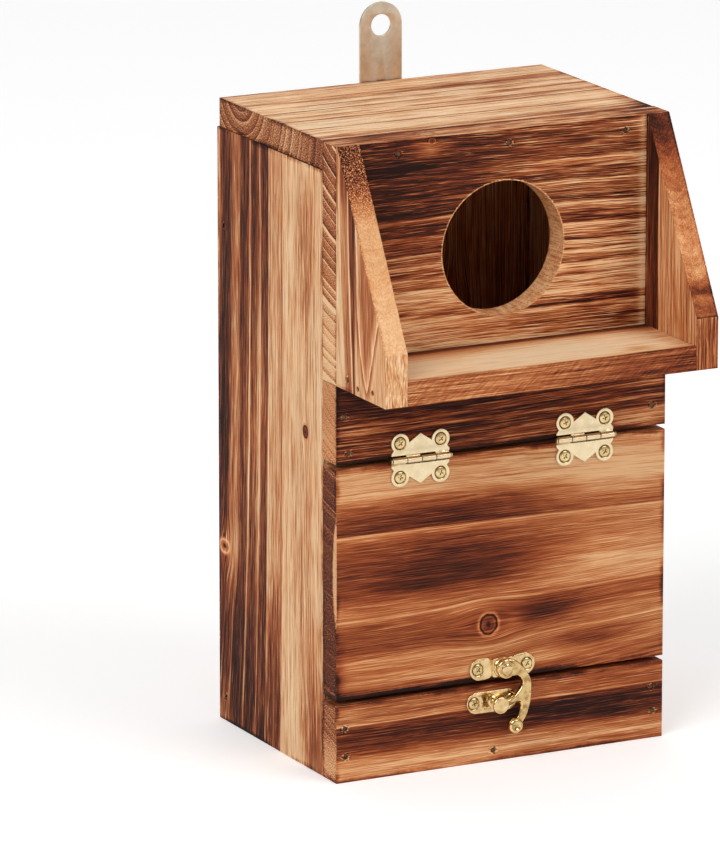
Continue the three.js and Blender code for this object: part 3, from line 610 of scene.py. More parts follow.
def scorched_board(
    node, directions, stops, far_stops=None, change=(0.3, 0.7), lean=0.0, spread=0.0, wave=1.0,
    pith=(-40.0, 30.0), spacing=4.0, taper=0.0, ring=0.3, line=0.3, streak=0.5, nick=0.25,
    knots=(), clouds=(), end_stops=((0, 0.6),), end_line=0.6, end_ring=1.8, rough_end=0.8, edge=0.45,
    reach=2.0, chip=0.12, inner=None, pale=0.08, red=0.5, seed=1.0, nails=None, extra=None,
):
    """The wood of one board, laid on its own solid, whose edges get a small rounding.

    Lean, spread and wave bend the lines. Pith, spacing and taper place the rings. Ring, line, streak
    and nick say how strongly each effect shows. The end values are for the sawn ends, and edge, reach
    and chip for the arrises. Inner is the darkness within the box, and pale the palest that any spot
    may be. Extra is a function that adds what only this board has.
    """
    material, net, shader = start_material(node + "_wood")
    (along, across, depth), (length, width, thick) = board_place(net, node, directions)
    face_spot = {"Along": along, "Across": across}

    push = 0.0
    knot_looks = []
    for middle, size, long, bark in knots:
        look = net.group(knot_group, {
            **face_spot, "Depth": depth, "Middle along": middle[0], "Middle across": middle[1],
            "Size": size, "Long": long, "Bark": bark})
        push = net.add(push, look["Push"])
        knot_looks.append(look)
    bent = net.group(bent_grain, {
        **face_spot, "Length": length, "Lean": lean, "Spread": spread, "Wave": wave, "Push": push,
        "Seed": seed})["Bent"]
    sloped = net.add(bent, net.times(depth, band_slant))

    char = bands(net, sloped, width, stops)
    if far_stops:
        far = bands(net, sloped, width, far_stops)
        char = net.blend(net.fade(along, change[0] * length, change[1] * length), char, far)
    for middle, size, strength in clouds:
        char = net.add(char, cloud(net, along, across, middle, size, strength))

    grain_spot = {"Along": along, "Bent": bent, "Depth": depth, "Seed": seed}
    rings = net.group(year_rings, {
        **grain_spot, "Pith across": pith[0], "Pith height": pith[1], "Spacing": spacing,
        "Taper": taper})
    threads = net.group(fibres, grain_spot)
    char = net.add(
        char, net.times(rings["Tooth"], ring), net.times(rings["Line"], -line),
        net.times(threads["Streak"], streak), net.times(threads["Nick"], -nick))
    for look in knot_looks:
        speckled = net.add(look["Char"], net.times(threads["Streak"], 0.25))
        char = net.blend(look["Mask"], char, speckled)
    if nails:
        char = tear_at_nails(net, char, face_spot, node, directions, nails)

    if inner is not None:
        inside = net.add(inner, net.times(threads["Streak"], 0.4), net.times(rings["Tooth"], 0.15))
        char = net.blend(net.fade(depth, thick - 1.2, thick - 0.4), char, inside)

    grain_axis = directions[0][1]
    at_end = net.fade(net.math("ABSOLUTE", net.facing(grain_axis)), 0.5, 0.8)
    speckle = net.swing(net.vector(along, across, depth), scale=2.0, detail=2.0, roughness=0.7)
    end = net.add(
        bands(net, across, width, end_stops), net.times(rings["Tooth"], ring * end_ring),
        net.times(rings["Line"], -end_line), net.times(speckle, rough_end))
    char = net.blend(at_end, char, end)

    arris = net.group(burnt_arris, {
        **face_spot, "Depth": depth, "Length": length, "Width": width, "Thick": thick,
        "Reach": reach, "Seed": seed})
    char = net.add(char, net.times(arris["Burn"], edge), net.times(arris["Chip"], -chip))
    if extra:
        char = extra(net, char, along, across, depth, threads, speckle)
    char = net.math("SMOOTH_MAX", char, pale, 0.1, clamp=True)

    hue_place = net.vector(net.times(along, 0.02), net.times(bent, 0.06), seed)
    hue = net.add(net.times(net.swing(hue_place), 1.8), red)
    tone = net.group(scorched_tone, {"Char": char, "Red": net.math("ADD", hue, 0.0, clamp=True)})
    net.feed(shader.inputs["Base Color"], tone["Color"])
    net.feed(shader.inputs["Roughness"], tone["Roughness"])
    shader.inputs["Specular IOR Level"].default_value = 0.14
    relief = net.add(threads["Height"], net.times(rings["Tooth"], -0.9), net.times(arris["Chip"], -0.8))
    bump = net.node("ShaderNodeBump", {"Height": relief, "Strength": 0.9, "Distance": 0.25 * MM})
    net.feed(shader.inputs["Normal"], bump.outputs[0])
    dress_board(node, material)
    print(node, [round(size, 1) for size in (length, width, thick)], "mm of wood")


# %% [markdown]
# ## The left side panel
# This is the widest face in view. The grain stands upright. Dark bands crowd the rear half and lean
# backwards as they come down, thin light lines run between them, and the front half is pale honey
# with a brown cloud near the top. The bands are placed from the rear edge.

# %% Left side panel
scorched_board(
    "left_side_panel", ("-Z", "-Y", "+X"),
    stops=[
        (0, 0.34), (1.8, 0.36), (2.8, 0.68), (6, 0.78), (10.5, 0.74), (12, 0.56), (16, 0.4),
        (19.4, 0.56), (20.4, 0.84), (26.8, 0.86), (27.6, 0.62), (28.1, 0.34), (28.8, 0.66), (29.6, 0.9),
        (34.2, 0.84), (35.0, 0.7), (36.2, 0.62), (37, 0.46), (37.7, 0.7), (38.4, 0.9), (43.4, 0.9),
        (44.1, 0.14), (44.8, 0.46), (46.4, 0.38), (54.2, 0.36), (55.1, 0.6), (55.8, 0.26), (62, 0.2),
        (70, 0.25), (79, 0.27), (89, 0.2)],
    far_stops=[
        (9, 0.5), (16.8, 0.62), (17.8, 0.4), (18.8, 0.76), (25, 0.86), (27.2, 0.86), (27.9, 0.26),
        (28.7, 0.9), (35, 0.94), (36.3, 0.76), (37, 0.44), (37.8, 0.9), (43.6, 0.96), (44.3, 0.3),
        (45.1, 0.72), (50, 0.8), (54, 0.74), (55, 0.62), (55.9, 0.2), (62, 0.16), (67, 0.18),
        (73, 0.34), (80, 0.42), (89, 0.32)],
    change=(0.66, 0.88), lean=11.6, spread=-0.16, wave=0.7, pith=(120.0, 26.0), spacing=5.2,
    ring=0.14, line=0.06, streak=0.54, nick=0.3,
    knots=[((164, 5.0), 4.2, 0.62, 0.1), ((103, 74.5), 2.1, 1.1, 1.2)],
    clouds=[
        ((34, 75), (26, 7), 0.24), ((222, 84), (20, 9), 0.2), ((160, 71), (40, 7), 0.1),
        ((115, 60), (28, 4), 0.06), ((112, 31), (62, 13), -0.32), ((108, 37), (50, 4), -0.08),
        ((112, 5), (46, 7), 0.24), ((164, 9), (8, 12), -0.16), ((44, 11), (44, 9), 0.17),
        ((200, 7), (26, 10), 0.32), ((100, 28), (70, 9), 0.06)],
    edge=0.4, chip=0.3, inner=0.3, pale=0.1, red=0.55, seed=1.0, nails="side_panel_nail_left")

# %% [markdown]
# ## The front boards
# Four boards close the front, all with level grain. The top one carries the entrance and is burnt
# nearly black at its upper left. Its other faces differ too much to be left to chance: the entrance
# was sawn after the burning and is pale and fuzzy inside, and its top edge lies level with the roof.
# So one function mixes them in by place. The bands are placed from each board's upper edge.

# %% The front panel's own faces
entrance_middle = (70.0, 45.4)
entrance_radius = 25.75


def front_panel_faces(net, char, along, across, depth, threads, speckle):
    """Calm soot at the upper left and livelier streaks at the right, a pale fuzzy wall in the
    entrance, and a top edge like the roof."""
    calm = cloud(net, along, across, (20, 20), (44, 28), -0.34)
    lively = cloud(net, along, across, (118, 55), (34, 44), 0.2)
    char = net.add(char, net.times(threads["Streak"], net.add(calm, lively)))
    aside = net.less(along, entrance_middle[0])
    down = net.less(across, entrance_middle[1])
    ragged = net.swing(net.vector(along, across, depth), scale=0.8, detail=2.0)
    radius = net.add(net.distance(aside, down), net.times(ragged, 1.3))
    wall = net.fade(radius, entrance_radius + 0.5, entrance_radius + 0.15)
    sawn_place = net.vector(net.times(along, 0.9), net.times(across, 1.5), net.times(depth, 0.12))
    sawn = net.swing(sawn_place, detail=3.0, roughness=0.7)
    raw = net.add(0.3, net.times(sawn, 0.9), net.times(threads["Streak"], 0.3))
    char = net.blend(wall, char, raw)
    top = net.add(0.4, net.times(threads["Streak"], 0.8))
    top = net.add(top, cloud(net, along, depth, (22, 5), (15, 4.5), 0.4))
    top = net.add(top, cloud(net, along, depth, (132, 5), (14, 6), 0.35))
    top = net.add(top, net.times(net.fade(depth, 8.6, 10.6), 0.3))
    return net.blend(net.fade(across, 0.5, 0.15), char, top)


print("entrance:", 2 * entrance_radius, "mm across")

# %% [markdown]
# The top board's own bands are dark at the left. To the right, thin pale lines stand between them,
# which is what the second list of stops is for.

# %% Front panel
scorched_board(
    "front_panel", ("+X", "-Z", "+Y"),
    stops=[
        (0, 0.74), (5, 0.8), (12, 0.82), (14.2, 0.86), (14.8, 0.56), (15.8, 0.72), (23, 0.84),
        (23.6, 0.5), (24.6, 0.74), (30.4, 0.86), (31, 0.3), (31.8, 0.66), (37.5, 0.82), (38.1, 0.44),
        (39.5, 0.6), (44.4, 0.78), (45, 0.28), (45.8, 0.56), (48.5, 0.72), (49, 0.32), (50, 0.6),
        (53.5, 0.68), (54, 0.26), (55, 0.5), (57.8, 0.64), (58.4, 0.26), (64.6, 0.4), (69, 0.7),
        (69.8, 0.26), (74, 0.46), (82, 0.3), (91, 0.3)],
    far_stops=[
        (0, 0.62), (12.4, 0.78), (13.1, 0.36), (14.2, 0.56), (21, 0.82), (21.7, 0.28), (22.8, 0.5),
        (29.8, 0.84), (30.5, 0.14), (31.8, 0.46), (38, 0.88), (38.7, 0.18), (39.8, 0.48), (44.8, 0.8),
        (45.4, 0.12), (48.4, 0.72), (49, 0.16), (50, 0.4), (53.2, 0.74), (54, 0.14), (55, 0.34),
        (58, 0.6), (58.6, 0.14), (63.4, 0.48), (64, 0.12), (69, 0.94), (69.8, 0.2), (72, 0.54),
        (78.5, 0.66), (80.5, 0.34), (91, 0.3)],
    change=(0.25, 0.8), lean=-2.5, spread=0.02, wave=1.3, pith=(-60.0, 34.0), spacing=4.4,
    ring=0.16, line=0.1, streak=0.62, nick=0.38, knots=[((40, 1.8), 0.9, 1.2, 1.0)],
    clouds=[
        ((18, 12), (48, 34), 0.12), ((118, 70), (14, 7), 0.2), ((129.6, 45), (1.9, 120), -0.3),
        ((26, 22), (30, 16), 0.05), ((39, 5), (7, 3.5), -0.3), ((24, 72), (22, 12), -0.1)],
    end_stops=[(0, 0.62), (12, 0.56), (45, 0.5), (62, 0.36), (70, 0.2), (91, 0.16)], end_line=0.9,
    end_ring=5.0, rough_end=1.6, edge=0.25, inner=0.35, pale=0.14, red=0.66, seed=2.0,
    nails="front_panel_nail", extra=front_panel_faces)

# %% [markdown]
# The hinge rail is the darkest board. Most of it hides behind the porch and the leaves of the hinges,
# so it takes no more than bands, with a lighter cloud where the flame missed its right end. Its top
# strip is painted near black: char with the porch's shadow painted onto it.

# %% Hinge rail
scorched_board(
    "hinge_rail", ("+X", "-Z", "+Y"),
    # The first 9 mm from the top, in both lists, are the porch's painted shadow over the char.
    stops=[
        (0, 0.92), (9, 0.92), (11, 0.84), (14, 0.82), (15.4, 0.68), (16, 0.5), (16.8, 0.76), (18.6, 0.64),
        (19.2, 0.42), (20, 0.8), (22.4, 0.84), (23, 0.5), (24, 0.78), (26.4, 0.8), (27, 0.5),
        (28.4, 0.76), (30.5, 0.86)],
    far_stops=[
        (0, 0.92), (9, 0.92), (11, 0.84), (15, 0.62), (16, 0.78), (19, 0.82), (19.6, 0.46), (21, 0.78),
        (23.6, 0.8), (24.2, 0.42), (26, 0.7), (27.2, 0.48), (28.6, 0.6), (30.5, 0.8)],
    lean=1.6, wave=1.2, pith=(-45.0, 26.0), spacing=3.4, ring=0.26, line=0.2, streak=0.5, nick=0.26,
    clouds=[((129, 27), (14, 4), -0.26), ((12, 20), (16, 4), -0.1), ((60, 14), (70, 20), 0.1)],
    end_stops=[(0, 0.3), (12, 0.4), (22, 0.26), (30, 0.36)], end_line=0.16, rough_end=2.2, edge=0.25,
    inner=0.35, pale=0.3, red=0.75, seed=3.0, nails="hinge_rail_nail")

# %% [markdown]
# The door is the calmest board, with three crisp lines, a dark cloud and one knot. Two lists of
# stops let those lines drift apart from left to right. Its left end tore when it was sawn, and the
# pale wood that shows there is an oval with a ragged rim.

# %% Clean-out door
def door_end(net, char, along, across, depth, threads, speckle):
    """The door's left end is dark and rough, with a thin torn lens of sapwood by the front face."""
    lens_middle, lens_long, lens_deep = 40.0, 22.0, 3.2
    ahead = net.math("DIVIDE", net.less(across, lens_middle), lens_long)
    aside = net.math("DIVIDE", depth, lens_deep)
    torn = net.noise(net.vector(net.times(across, 0.35), depth, 6.0), detail=3.0, roughness=0.7)
    spread = net.add(net.squares(ahead, aside), net.times(torn, 1.4))
    lens = net.fade(spread, 1.7, 1.3)
    pale = net.add(0.2, net.times(speckle, 1.6))
    mask = net.times(lens, net.fade(along, 0.25, 0.1))
    return net.blend(mask, char, pale)


scorched_board(
    "clean_out_door", ("+X", "-Z", "+Y"),
    stops=[
        (0, 0.46), (2, 0.36), (8, 0.3), (12, 0.3), (14, 0.42), (18, 0.58), (23, 0.66), (26.2, 0.74),
        (26.8, 0.24), (27.6, 0.46), (33, 0.58), (40, 0.62), (48, 0.64), (53, 0.54), (57, 0.42),
        (58.7, 0.54), (59.3, 0.24), (60.2, 0.5), (64, 0.64), (70, 0.68), (74.2, 0.55), (75.2, 0.5),
        (75.8, 0.3), (76.5, 0.46), (81, 0.54), (85, 0.42), (88, 0.5), (89.8, 0.9)],
    far_stops=[
        (0, 0.4), (3, 0.32), (12, 0.26), (14.6, 0.3), (20, 0.42), (25, 0.58), (26.4, 0.66),
        (27, 0.28), (28, 0.42), (36, 0.48), (44, 0.42), (51, 0.35), (57, 0.34), (58.8, 0.54),
        (59.4, 0.28), (60.4, 0.58), (65, 0.6), (70, 0.5), (74.6, 0.46), (75.2, 0.6), (75.8, 0.26),
        (77, 0.46), (82, 0.5), (86, 0.42), (89.6, 0.6)],
    change=(0.4, 0.85), lean=-5.4, spread=0.148, wave=0.7, pith=(-70.0, 18.0), spacing=7.5,
    ring=0.1, line=0.04, streak=0.28, nick=0.14, knots=[((64.5, 67.6), 4.0, 0.9, 1.0)],
    clouds=[
        ((48, 42), (42, 12), 0.27), ((48, 20), (46, 6), 0.16), ((118, 46), (26, 9), -0.06),
        ((90, 64), (16, 6), 0.26), ((108, 78), (20, 4.5), 0.24), ((12, 88.5), (38, 3), 0.3),
        ((0, 82), (3, 12), 0.25), ((64, 60), (14, 3), -0.08), ((118, 10), (22, 8), -0.1),
        ((75, 67), (4, 4), -0.1), ((36, 80), (30, 5), -0.04), ((60, 84), (60, 5), -0.06)],
    end_stops=[(0, 0.8), (90, 0.84)], end_line=0.24, rough_end=2.4, edge=0.4, reach=2.4, inner=0.3,
    pale=0.2, red=0.7, seed=4.0, extra=door_end)

# %% [markdown]
# The bottom rail has one dark band through its middle and a pale line above and below it. The first
# stops are for its left end and the others for its right, where the dark band is deeper.

# %% Bottom rail
scorched_board(
    "bottom_rail", ("+X", "-Z", "+Y"),
    stops=[
        (0, 0.62), (1.2, 0.66), (2.5, 0.54), (7.4, 0.5), (8.5, 0.46), (8.9, 0.2), (9.4, 0.68),
        (11, 0.75), (16.5, 0.75), (19.6, 0.66), (21.6, 0.5), (23.4, 0.4), (25.6, 0.3), (26.2, 0.18),
        (26.8, 0.34), (28.5, 0.34), (30.3, 0.46)],
    far_stops=[
        (0, 0.62), (1.2, 0.66), (3, 0.56), (7, 0.56), (8, 0.5), (8.5, 0.24), (9, 0.7), (12, 0.84),
        (18, 0.8), (20.6, 0.6), (22, 0.44), (23.4, 0.46), (26, 0.3), (27.4, 0.46), (30.3, 0.55)],
    lean=0.6, wave=0.9, pith=(-80.0, 24.0), spacing=3.0, ring=0.14, line=0.08, streak=0.3, nick=0.22,
    clouds=[
        ((6, 10), (10, 4), 0.06), ((5, 4), (8, 7), -0.1), ((118, 15), (36, 11), 0.12),
        ((50, 14), (50, 6), 0.1)],
    end_stops=[(0, 0.56), (12, 0.6), (17, 0.4), (26, 0.24), (30.3, 0.5)], end_line=0.3, rough_end=2.2,
    edge=0.3, inner=0.35, pale=0.16, red=0.66, seed=5.0, nails="bottom_rail_nail")

# %% [markdown]
# ## The roof
# The roof's top is honey with thin brown lines across the box and a dark streak to the rear right.
# Its left end shows the rings as wide arcs about a pith that lay just above the board. Nothing is
# drawn for them: the rings are cones in the whole board, and the end cuts through them.

# %% Roof
scorched_board(
    "roof_board", ("+X", "+Y", "-Z"),
    stops=[
        (0, 0.66), (1, 0.46), (2, 0.16), (3.4, 0.46), (5, 0.44), (8, 0.26), (12, 0.16), (18, 0.22),
        (19.2, 0.6), (20.6, 0.1), (27, 0.14), (33, 0.28), (34.4, 0.72), (35.4, 0.12), (41, 0.4),
        (42.2, 0.14), (48.6, 0.32), (50.3, 0.62), (51.2, 0.14), (57.5, 0.3), (58.8, 0.56), (59.8, 0.12),
        (66, 0.36), (69.4, 0.3), (70.6, 0.54), (71.6, 0.14), (78, 0.22), (83, 0.3), (88, 0.34)],
    lean=-1.5, wave=1.4, pith=(70.0, 7.0), spacing=4.6, ring=0.26, line=0.14, streak=0.74, nick=0.3,
    clouds=[
        ((106, 68), (44, 4.5), 0.34), ((12, 60), (18, 14), -0.14), ((138, 4), (6, 18), 0.4),
        ((108, 41), (36, 3.4), 0.22), ((112, 22), (34, 2.6), 0.18), ((70, 30), (50, 4), -0.06),
        ((12, 26), (18, 9), -0.1), ((30, 2), (26, 3), 0.2)],
    end_stops=[(0, 0.7), (16, 0.56), (30, 0.42), (44, 0.56), (60, 0.6), (88, 0.62)], end_line=0.1,
    end_ring=2.0, rough_end=2.6, edge=0.4, chip=0.3, inner=0.35, red=0.62, seed=6.0)

# %% [markdown]
# ## The porch
# The two cheeks stand upright in grain. The left one shows a tall V where the saw cut through the
# crown of the rings, the right one a dark strip beside the panel. Their sloped edges were sawn last:
# sooty and speckled at the top, golden below. An edge isn't a piece of its own, so the way that the
# surface looks tells it from the faces.

# %% Sloped edges
bow_middle = 5.0


def ring_arcs(net, along, depth, seed):
    """The year rings cross a sloped edge as flat arcs, which bow about a line near its middle."""
    off = net.less(depth, bow_middle)
    bow = net.times(net.times(off, off), 0.05)
    place = net.vector(net.add(net.times(along, 0.42), bow), net.times(depth, 0.09), seed)
    return net.swing(place, detail=3.0, roughness=0.65)


def slope_burn(net, depth, speckle):
    """The flame caught the two long arrises of a sloped edge, and the outer one more."""
    off = net.math("ABSOLUTE", net.less(depth, bow_middle))
    uneven = net.add(0.2, net.times(speckle, 1.2))
    return net.times(net.fade(off, bow_middle - 1.2, bow_middle), uneven)


def slope_mask(net):
    """One on the sloped edge of a cheek, and zero on its faces and its nose."""
    upward = net.facing("Z")
    return net.times(net.fade(upward, 0.3, 0.42), net.fade(upward, 0.7, 0.58))


print("arcs bow about a line", bow_middle, "mm from a cheek's outer face")

# %% [markdown]
# The V of the left cheek is two curves that meet at the cheek's foot. A thin pale line runs along
# each, with a dark one outside it, and the wood between them turns brown. The distance to the nearer
# curve tells the one side from the other, so one ramp colours both arms.

# %% Left porch cheek
crown_foot, crown_left, crown_right = 90.0, 15.0, 25.0


def left_cheek_faces(net, char, along, across, depth, threads, speckle):
    """The V of the crown on the face, and the slope, sooty at its top."""
    rise = net.less(crown_foot, along)
    left_arm = net.math("EXPONENT", net.times(rise, -1 / 18))
    left_arm = net.add(crown_left, net.times(left_arm, crown_right - crown_left))
    left_off = net.less(across, left_arm)
    right_off = net.less(net.add(crown_right, net.times(rise, 0.32)), across)
    wobble = net.swing(net.vector(net.times(along, 0.06), net.times(across, 0.2), 2.0))
    off = net.add(net.math("MINIMUM", left_off, right_off), net.times(wobble, 2.0))
    crown = net.ramp(net.fade(off, -8, 12), [
        (0.0, 0.28), (0.2, 0.26), (0.33, 0.5), (0.37, 0.6), (0.4, 0.12), (0.44, 0.14), (0.5, 0.3),
        (0.6, 0.4), (0.74, 0.54), (1.0, 0.52)])
    crown = net.add(crown, net.times(threads["Streak"], 0.4), net.times(threads["Nick"], -0.15))
    char = net.blend(net.fade(across, 14.2, 16.2), char, crown)
    soot = net.fade(along, 30, 4)
    specks = net.times(speckle, net.add(0.3, net.times(soot, 3.2)))
    slope = net.add(
        net.fade(along, 30, 80, 0.3, 0.2), net.times(soot, 0.5), specks,
        net.times(threads["Streak"], 0.1), net.times(ring_arcs(net, along, depth, 3.0), 0.25),
        net.times(slope_burn(net, depth, speckle), 0.6))
    return net.blend(slope_mask(net), char, slope)


scorched_board(
    "left_porch_cheek", ("-Z", "-Y", "+X"),
    stops=[
        (-3, 0.18), (1, 0.22), (2.6, 0.12), (3.0, 0.3), (4.4, 0.42), (7.6, 0.54), (8.4, 0.46),
        (8.8, 0.06), (9.4, 0.2), (10.2, 0.78), (14.4, 0.76), (15.2, 0.12), (16.6, 0.4), (40, 0.34)],
    lean=-4.5, wave=0.6, pith=(70.0, 30.0), spacing=3.2, ring=0.1, line=0.1, streak=0.4, nick=0.16,
    clouds=[((6, 8), (14, 10), 0.3), ((88, 12), (4, 14), 0.08)],
    end_stops=[(0, 0.5)], edge=0.25, inner=0.36, red=0.6, seed=7.0, nails="porch_cheek_nail_left",
    extra=left_cheek_faces)

# %% [markdown]
# The right cheek has no V. Its sloped edge changes colour several times on the way down, which is a
# ramp along the edge, and its upright nose is darker at the foot.

# %% Right porch cheek
tone_length = 95.0
cheek_low, cheek_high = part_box("right_porch_cheek")
porch_depth = (cheek_high.y - cheek_low.y) / MM


def right_cheek_faces(net, char, along, across, depth, threads, speckle):
    """The slope is fox brown at the top and honey below, with a dark nose."""
    tone = net.ramp(net.math("DIVIDE", along, tone_length), [
        (0.0, 0.86), (0.1, 0.76), (0.2, 0.56), (0.32, 0.44), (0.5, 0.34), (0.6, 0.42), (0.655, 0.78),
        (0.675, 0.5), (0.72, 0.66), (1.0, 0.6)])
    patches = net.swing(net.vector(net.times(along, 0.09), net.times(depth, 0.16), 5.0), detail=2.0)
    slope = net.add(
        tone, net.times(speckle, 0.5), net.times(threads["Streak"], 0.12), net.times(patches, 0.3),
        net.times(ring_arcs(net, along, depth, 5.0), 0.42), slope_burn(net, depth, speckle))
    char = net.blend(slope_mask(net), char, slope)
    at_nose = net.fade(across, porch_depth - 0.55, porch_depth - 0.15)
    return net.add(char, net.times(net.times(at_nose, net.fade(along, 68, 72)), 0.22))


scorched_board(
    "right_porch_cheek", ("-Z", "-Y", "-X"),
    stops=[
        (0, 0.44), (1.6, 0.5), (2.6, 0.8), (4, 0.62), (5, 0.84), (9, 0.88), (12.6, 0.84), (13.4, 0.2),
        (14.4, 0.38), (22, 0.38), (26, 0.32), (31, 0.4), (36, 0.4), (40, 0.36)],
    lean=-0.5, wave=0.7, pith=(90.0, 14.0), spacing=2.6, ring=0.16, line=0.12, streak=0.44,
    nick=0.2, clouds=[((70, 30), (14, 10), 0.1), ((14, 10), (18, 12), 0.1)],
    end_stops=[(0, 0.5)], edge=0.6, reach=1.6, red=0.66, seed=8.0, nails="porch_cheek_nail_right",
    extra=right_cheek_faces)

# %% [markdown]
# The sill is the palest board, with a dark line at its rear, along the front panel, and a reddish
# front edge that still shows the slant of the saw. Noise that is stretched along a slanting line
# gives the marks.

# %% Porch sill
def sill_front(net, char, along, across, depth, threads, speckle):
    """The sill's front edge: fox brown, darker to the right, with slanting saw marks."""
    slant = net.vector(
        net.times(net.add(along, net.times(depth, 1.3)), 1.4),
        net.times(net.less(net.times(along, 0.8), depth), 0.12), 0.0)
    marks = net.swing(slant, detail=3.0, roughness=0.65)
    front = net.add(
        net.fade(along, 20, 120, 0.46, 0.7), net.times(marks, 0.7), net.times(threads["Streak"], 0.4))
    return net.blend(net.fade(across, porch_depth - 0.5, porch_depth - 0.15), char, front)


scorched_board(
    "porch_sill", ("+X", "-Y", "-Z"),
    stops=[
        (0, 0.8), (1.4, 0.84), (3.2, 0.8), (4.6, 0.5), (6.5, 0.34), (10, 0.2), (14, 0.12), (20, 0.05),
        (30, 0.07), (37, 0.12), (39, 0.24), (39.8, 0.5)],
    wave=1.2, pith=(20.0, 5.0), spacing=3.0, ring=0.08, line=0.05, streak=0.32, nick=0.14,
    clouds=[
        ((101, 32), (7, 4), 0.2), ((119, 20), (7, 22), 0.22), ((30, 9), (40, 5), 0.1),
        ((112, 40), (24, 1.6), 0.4)],
    end_stops=[(0, 0.5)], edge=0.2, red=0.5, seed=9.0, extra=sill_front)

# %% [markdown]
# ## The hidden boards
# The right side, the back and the floor don't show from the front, but they were burnt and brushed
# with the rest. A plain brown would do for the camera, but the box is also turned round and opened,
# so they get bands of their own in the same manner.

# %% Right side panel, back panel and floor
scorched_board(
    "right_side_panel", ("-Z", "-Y", "-X"),
    stops=[
        (0, 0.5), (5, 0.4), (9, 0.7), (9.8, 0.2), (14, 0.4), (22, 0.6), (27.5, 0.8), (28.3, 0.16),
        (33, 0.36), (42, 0.58), (46, 0.76), (46.8, 0.22), (54, 0.4), (61, 0.7), (61.8, 0.2), (70, 0.34),
        (80, 0.5), (89, 0.6)],
    lean=-6.0, spread=0.05, wave=1.4, pith=(-30.0, 22.0), spacing=4.4, ring=0.2, line=0.16,
    streak=0.6, knots=[((150, 66), 3.6, 1.1, 0.8)],
    clouds=[((60, 30), (50, 18), 0.18), ((190, 60), (40, 16), 0.16), ((120, 75), (50, 10), -0.14)],
    chip=0.25, inner=0.3, red=0.55, seed=10.0, nails="side_panel_nail_right")
scorched_board(
    "back_panel", ("-Z", "+X", "-Y"),
    stops=[
        (0, 0.62), (10, 0.5), (18, 0.72), (18.8, 0.24), (30, 0.42), (40, 0.62), (46, 0.76), (46.8, 0.2),
        (58, 0.4), (70, 0.5), (76, 0.74), (76.8, 0.22), (88, 0.4), (99, 0.62), (104, 0.76),
        (104.8, 0.3), (118, 0.58)],
    lean=5.0, spread=-0.04, wave=1.8, pith=(62.0, 30.0), spacing=6.0, taper=0.04, ring=0.22, line=0.16,
    streak=0.6, knots=[((80, 84), 4.6, 1.1, 1.0), ((196, 28), 3.2, 1.2, 0.3)],
    clouds=[((40, 60), (50, 30), 0.16), ((150, 60), (50, 30), -0.12)],
    inner=0.5, red=0.55, seed=11.0)
scorched_board(
    "floor_board", ("+X", "+Y", "+Z"),
    stops=[(0, 0.5), (20, 0.35), (34, 0.6), (35, 0.24), (50, 0.36), (64, 0.5), (77, 0.4)],
    wave=1.4, pith=(38.0, 26.0), spacing=4.0, ring=0.16, line=0.12, streak=0.45,
    end_stops=[(0, 0.5)], edge=0.25, inner=0.3, red=0.5, seed=12.0)

# %% [markdown]
# ## Metal finishes
# The hinges are pressed from sheet with a pale brass wash and are satin all over. The latch is cast
# and polished, so it mirrors the studio and the brown boards. The strap is nickel-plated and brushed
# along its length. A clean metal of one colour looks like plastic film, so two shared groups break it
# up: fine scratches, and a film that dulls metal in patches. The rims of the latch get a painted
# highlight that makes them brighter than its faces, which are painted darker, and grime with painted
# shade darkens the corners.

# %% Metal groups
net, given, result = start_group(
    "Fine scratches", {"Place": (0.0, 0.0, 0.0), "Across": 0.2, "Along": 6.0}, {"Level": FLOAT})
parts = net.split(given["Place"])
narrow = net.math("DIVIDE", 1.0, given["Across"])
long = net.math("DIVIDE", 1.0, given["Along"])
place = net.vector(net.times(parts["X"], narrow), net.times(parts["Y"], narrow), net.times(parts["Z"], long))
net.feed(result["Level"], net.noise(place, detail=3.0, roughness=0.7))
fine_scratches = net.tree

net, given, result = start_group(
    "Dull film", {"Place": (0.0, 0.0, 0.0), "Grain": 2.0}, {"Patch": FLOAT, "Speck": FLOAT})
wide = net.noise(given["Place"], scale=0.35, detail=3.0)
net.feed(result["Patch"], net.fade(wide, 0.38, 0.66))
close = net.noise(given["Place"], scale=given["Grain"], detail=4.0, roughness=0.7)
net.feed(result["Speck"], net.fade(close, 0.5, 0.75))
dull_film = net.tree

# %% [markdown]
# One function makes every metal of the box. Base colour and roughness run together from bright to
# dull, because worn metal changes in both at once. Grime and painted shade go into the corners by how
# much sky a corner sees, and a painted highlight goes onto the rims by how far they turn from the front.

# %% Metal material
# The brown that corners are painted: grime with painted shade.
grime_and_shade_brown = colour(96, 66, 38)


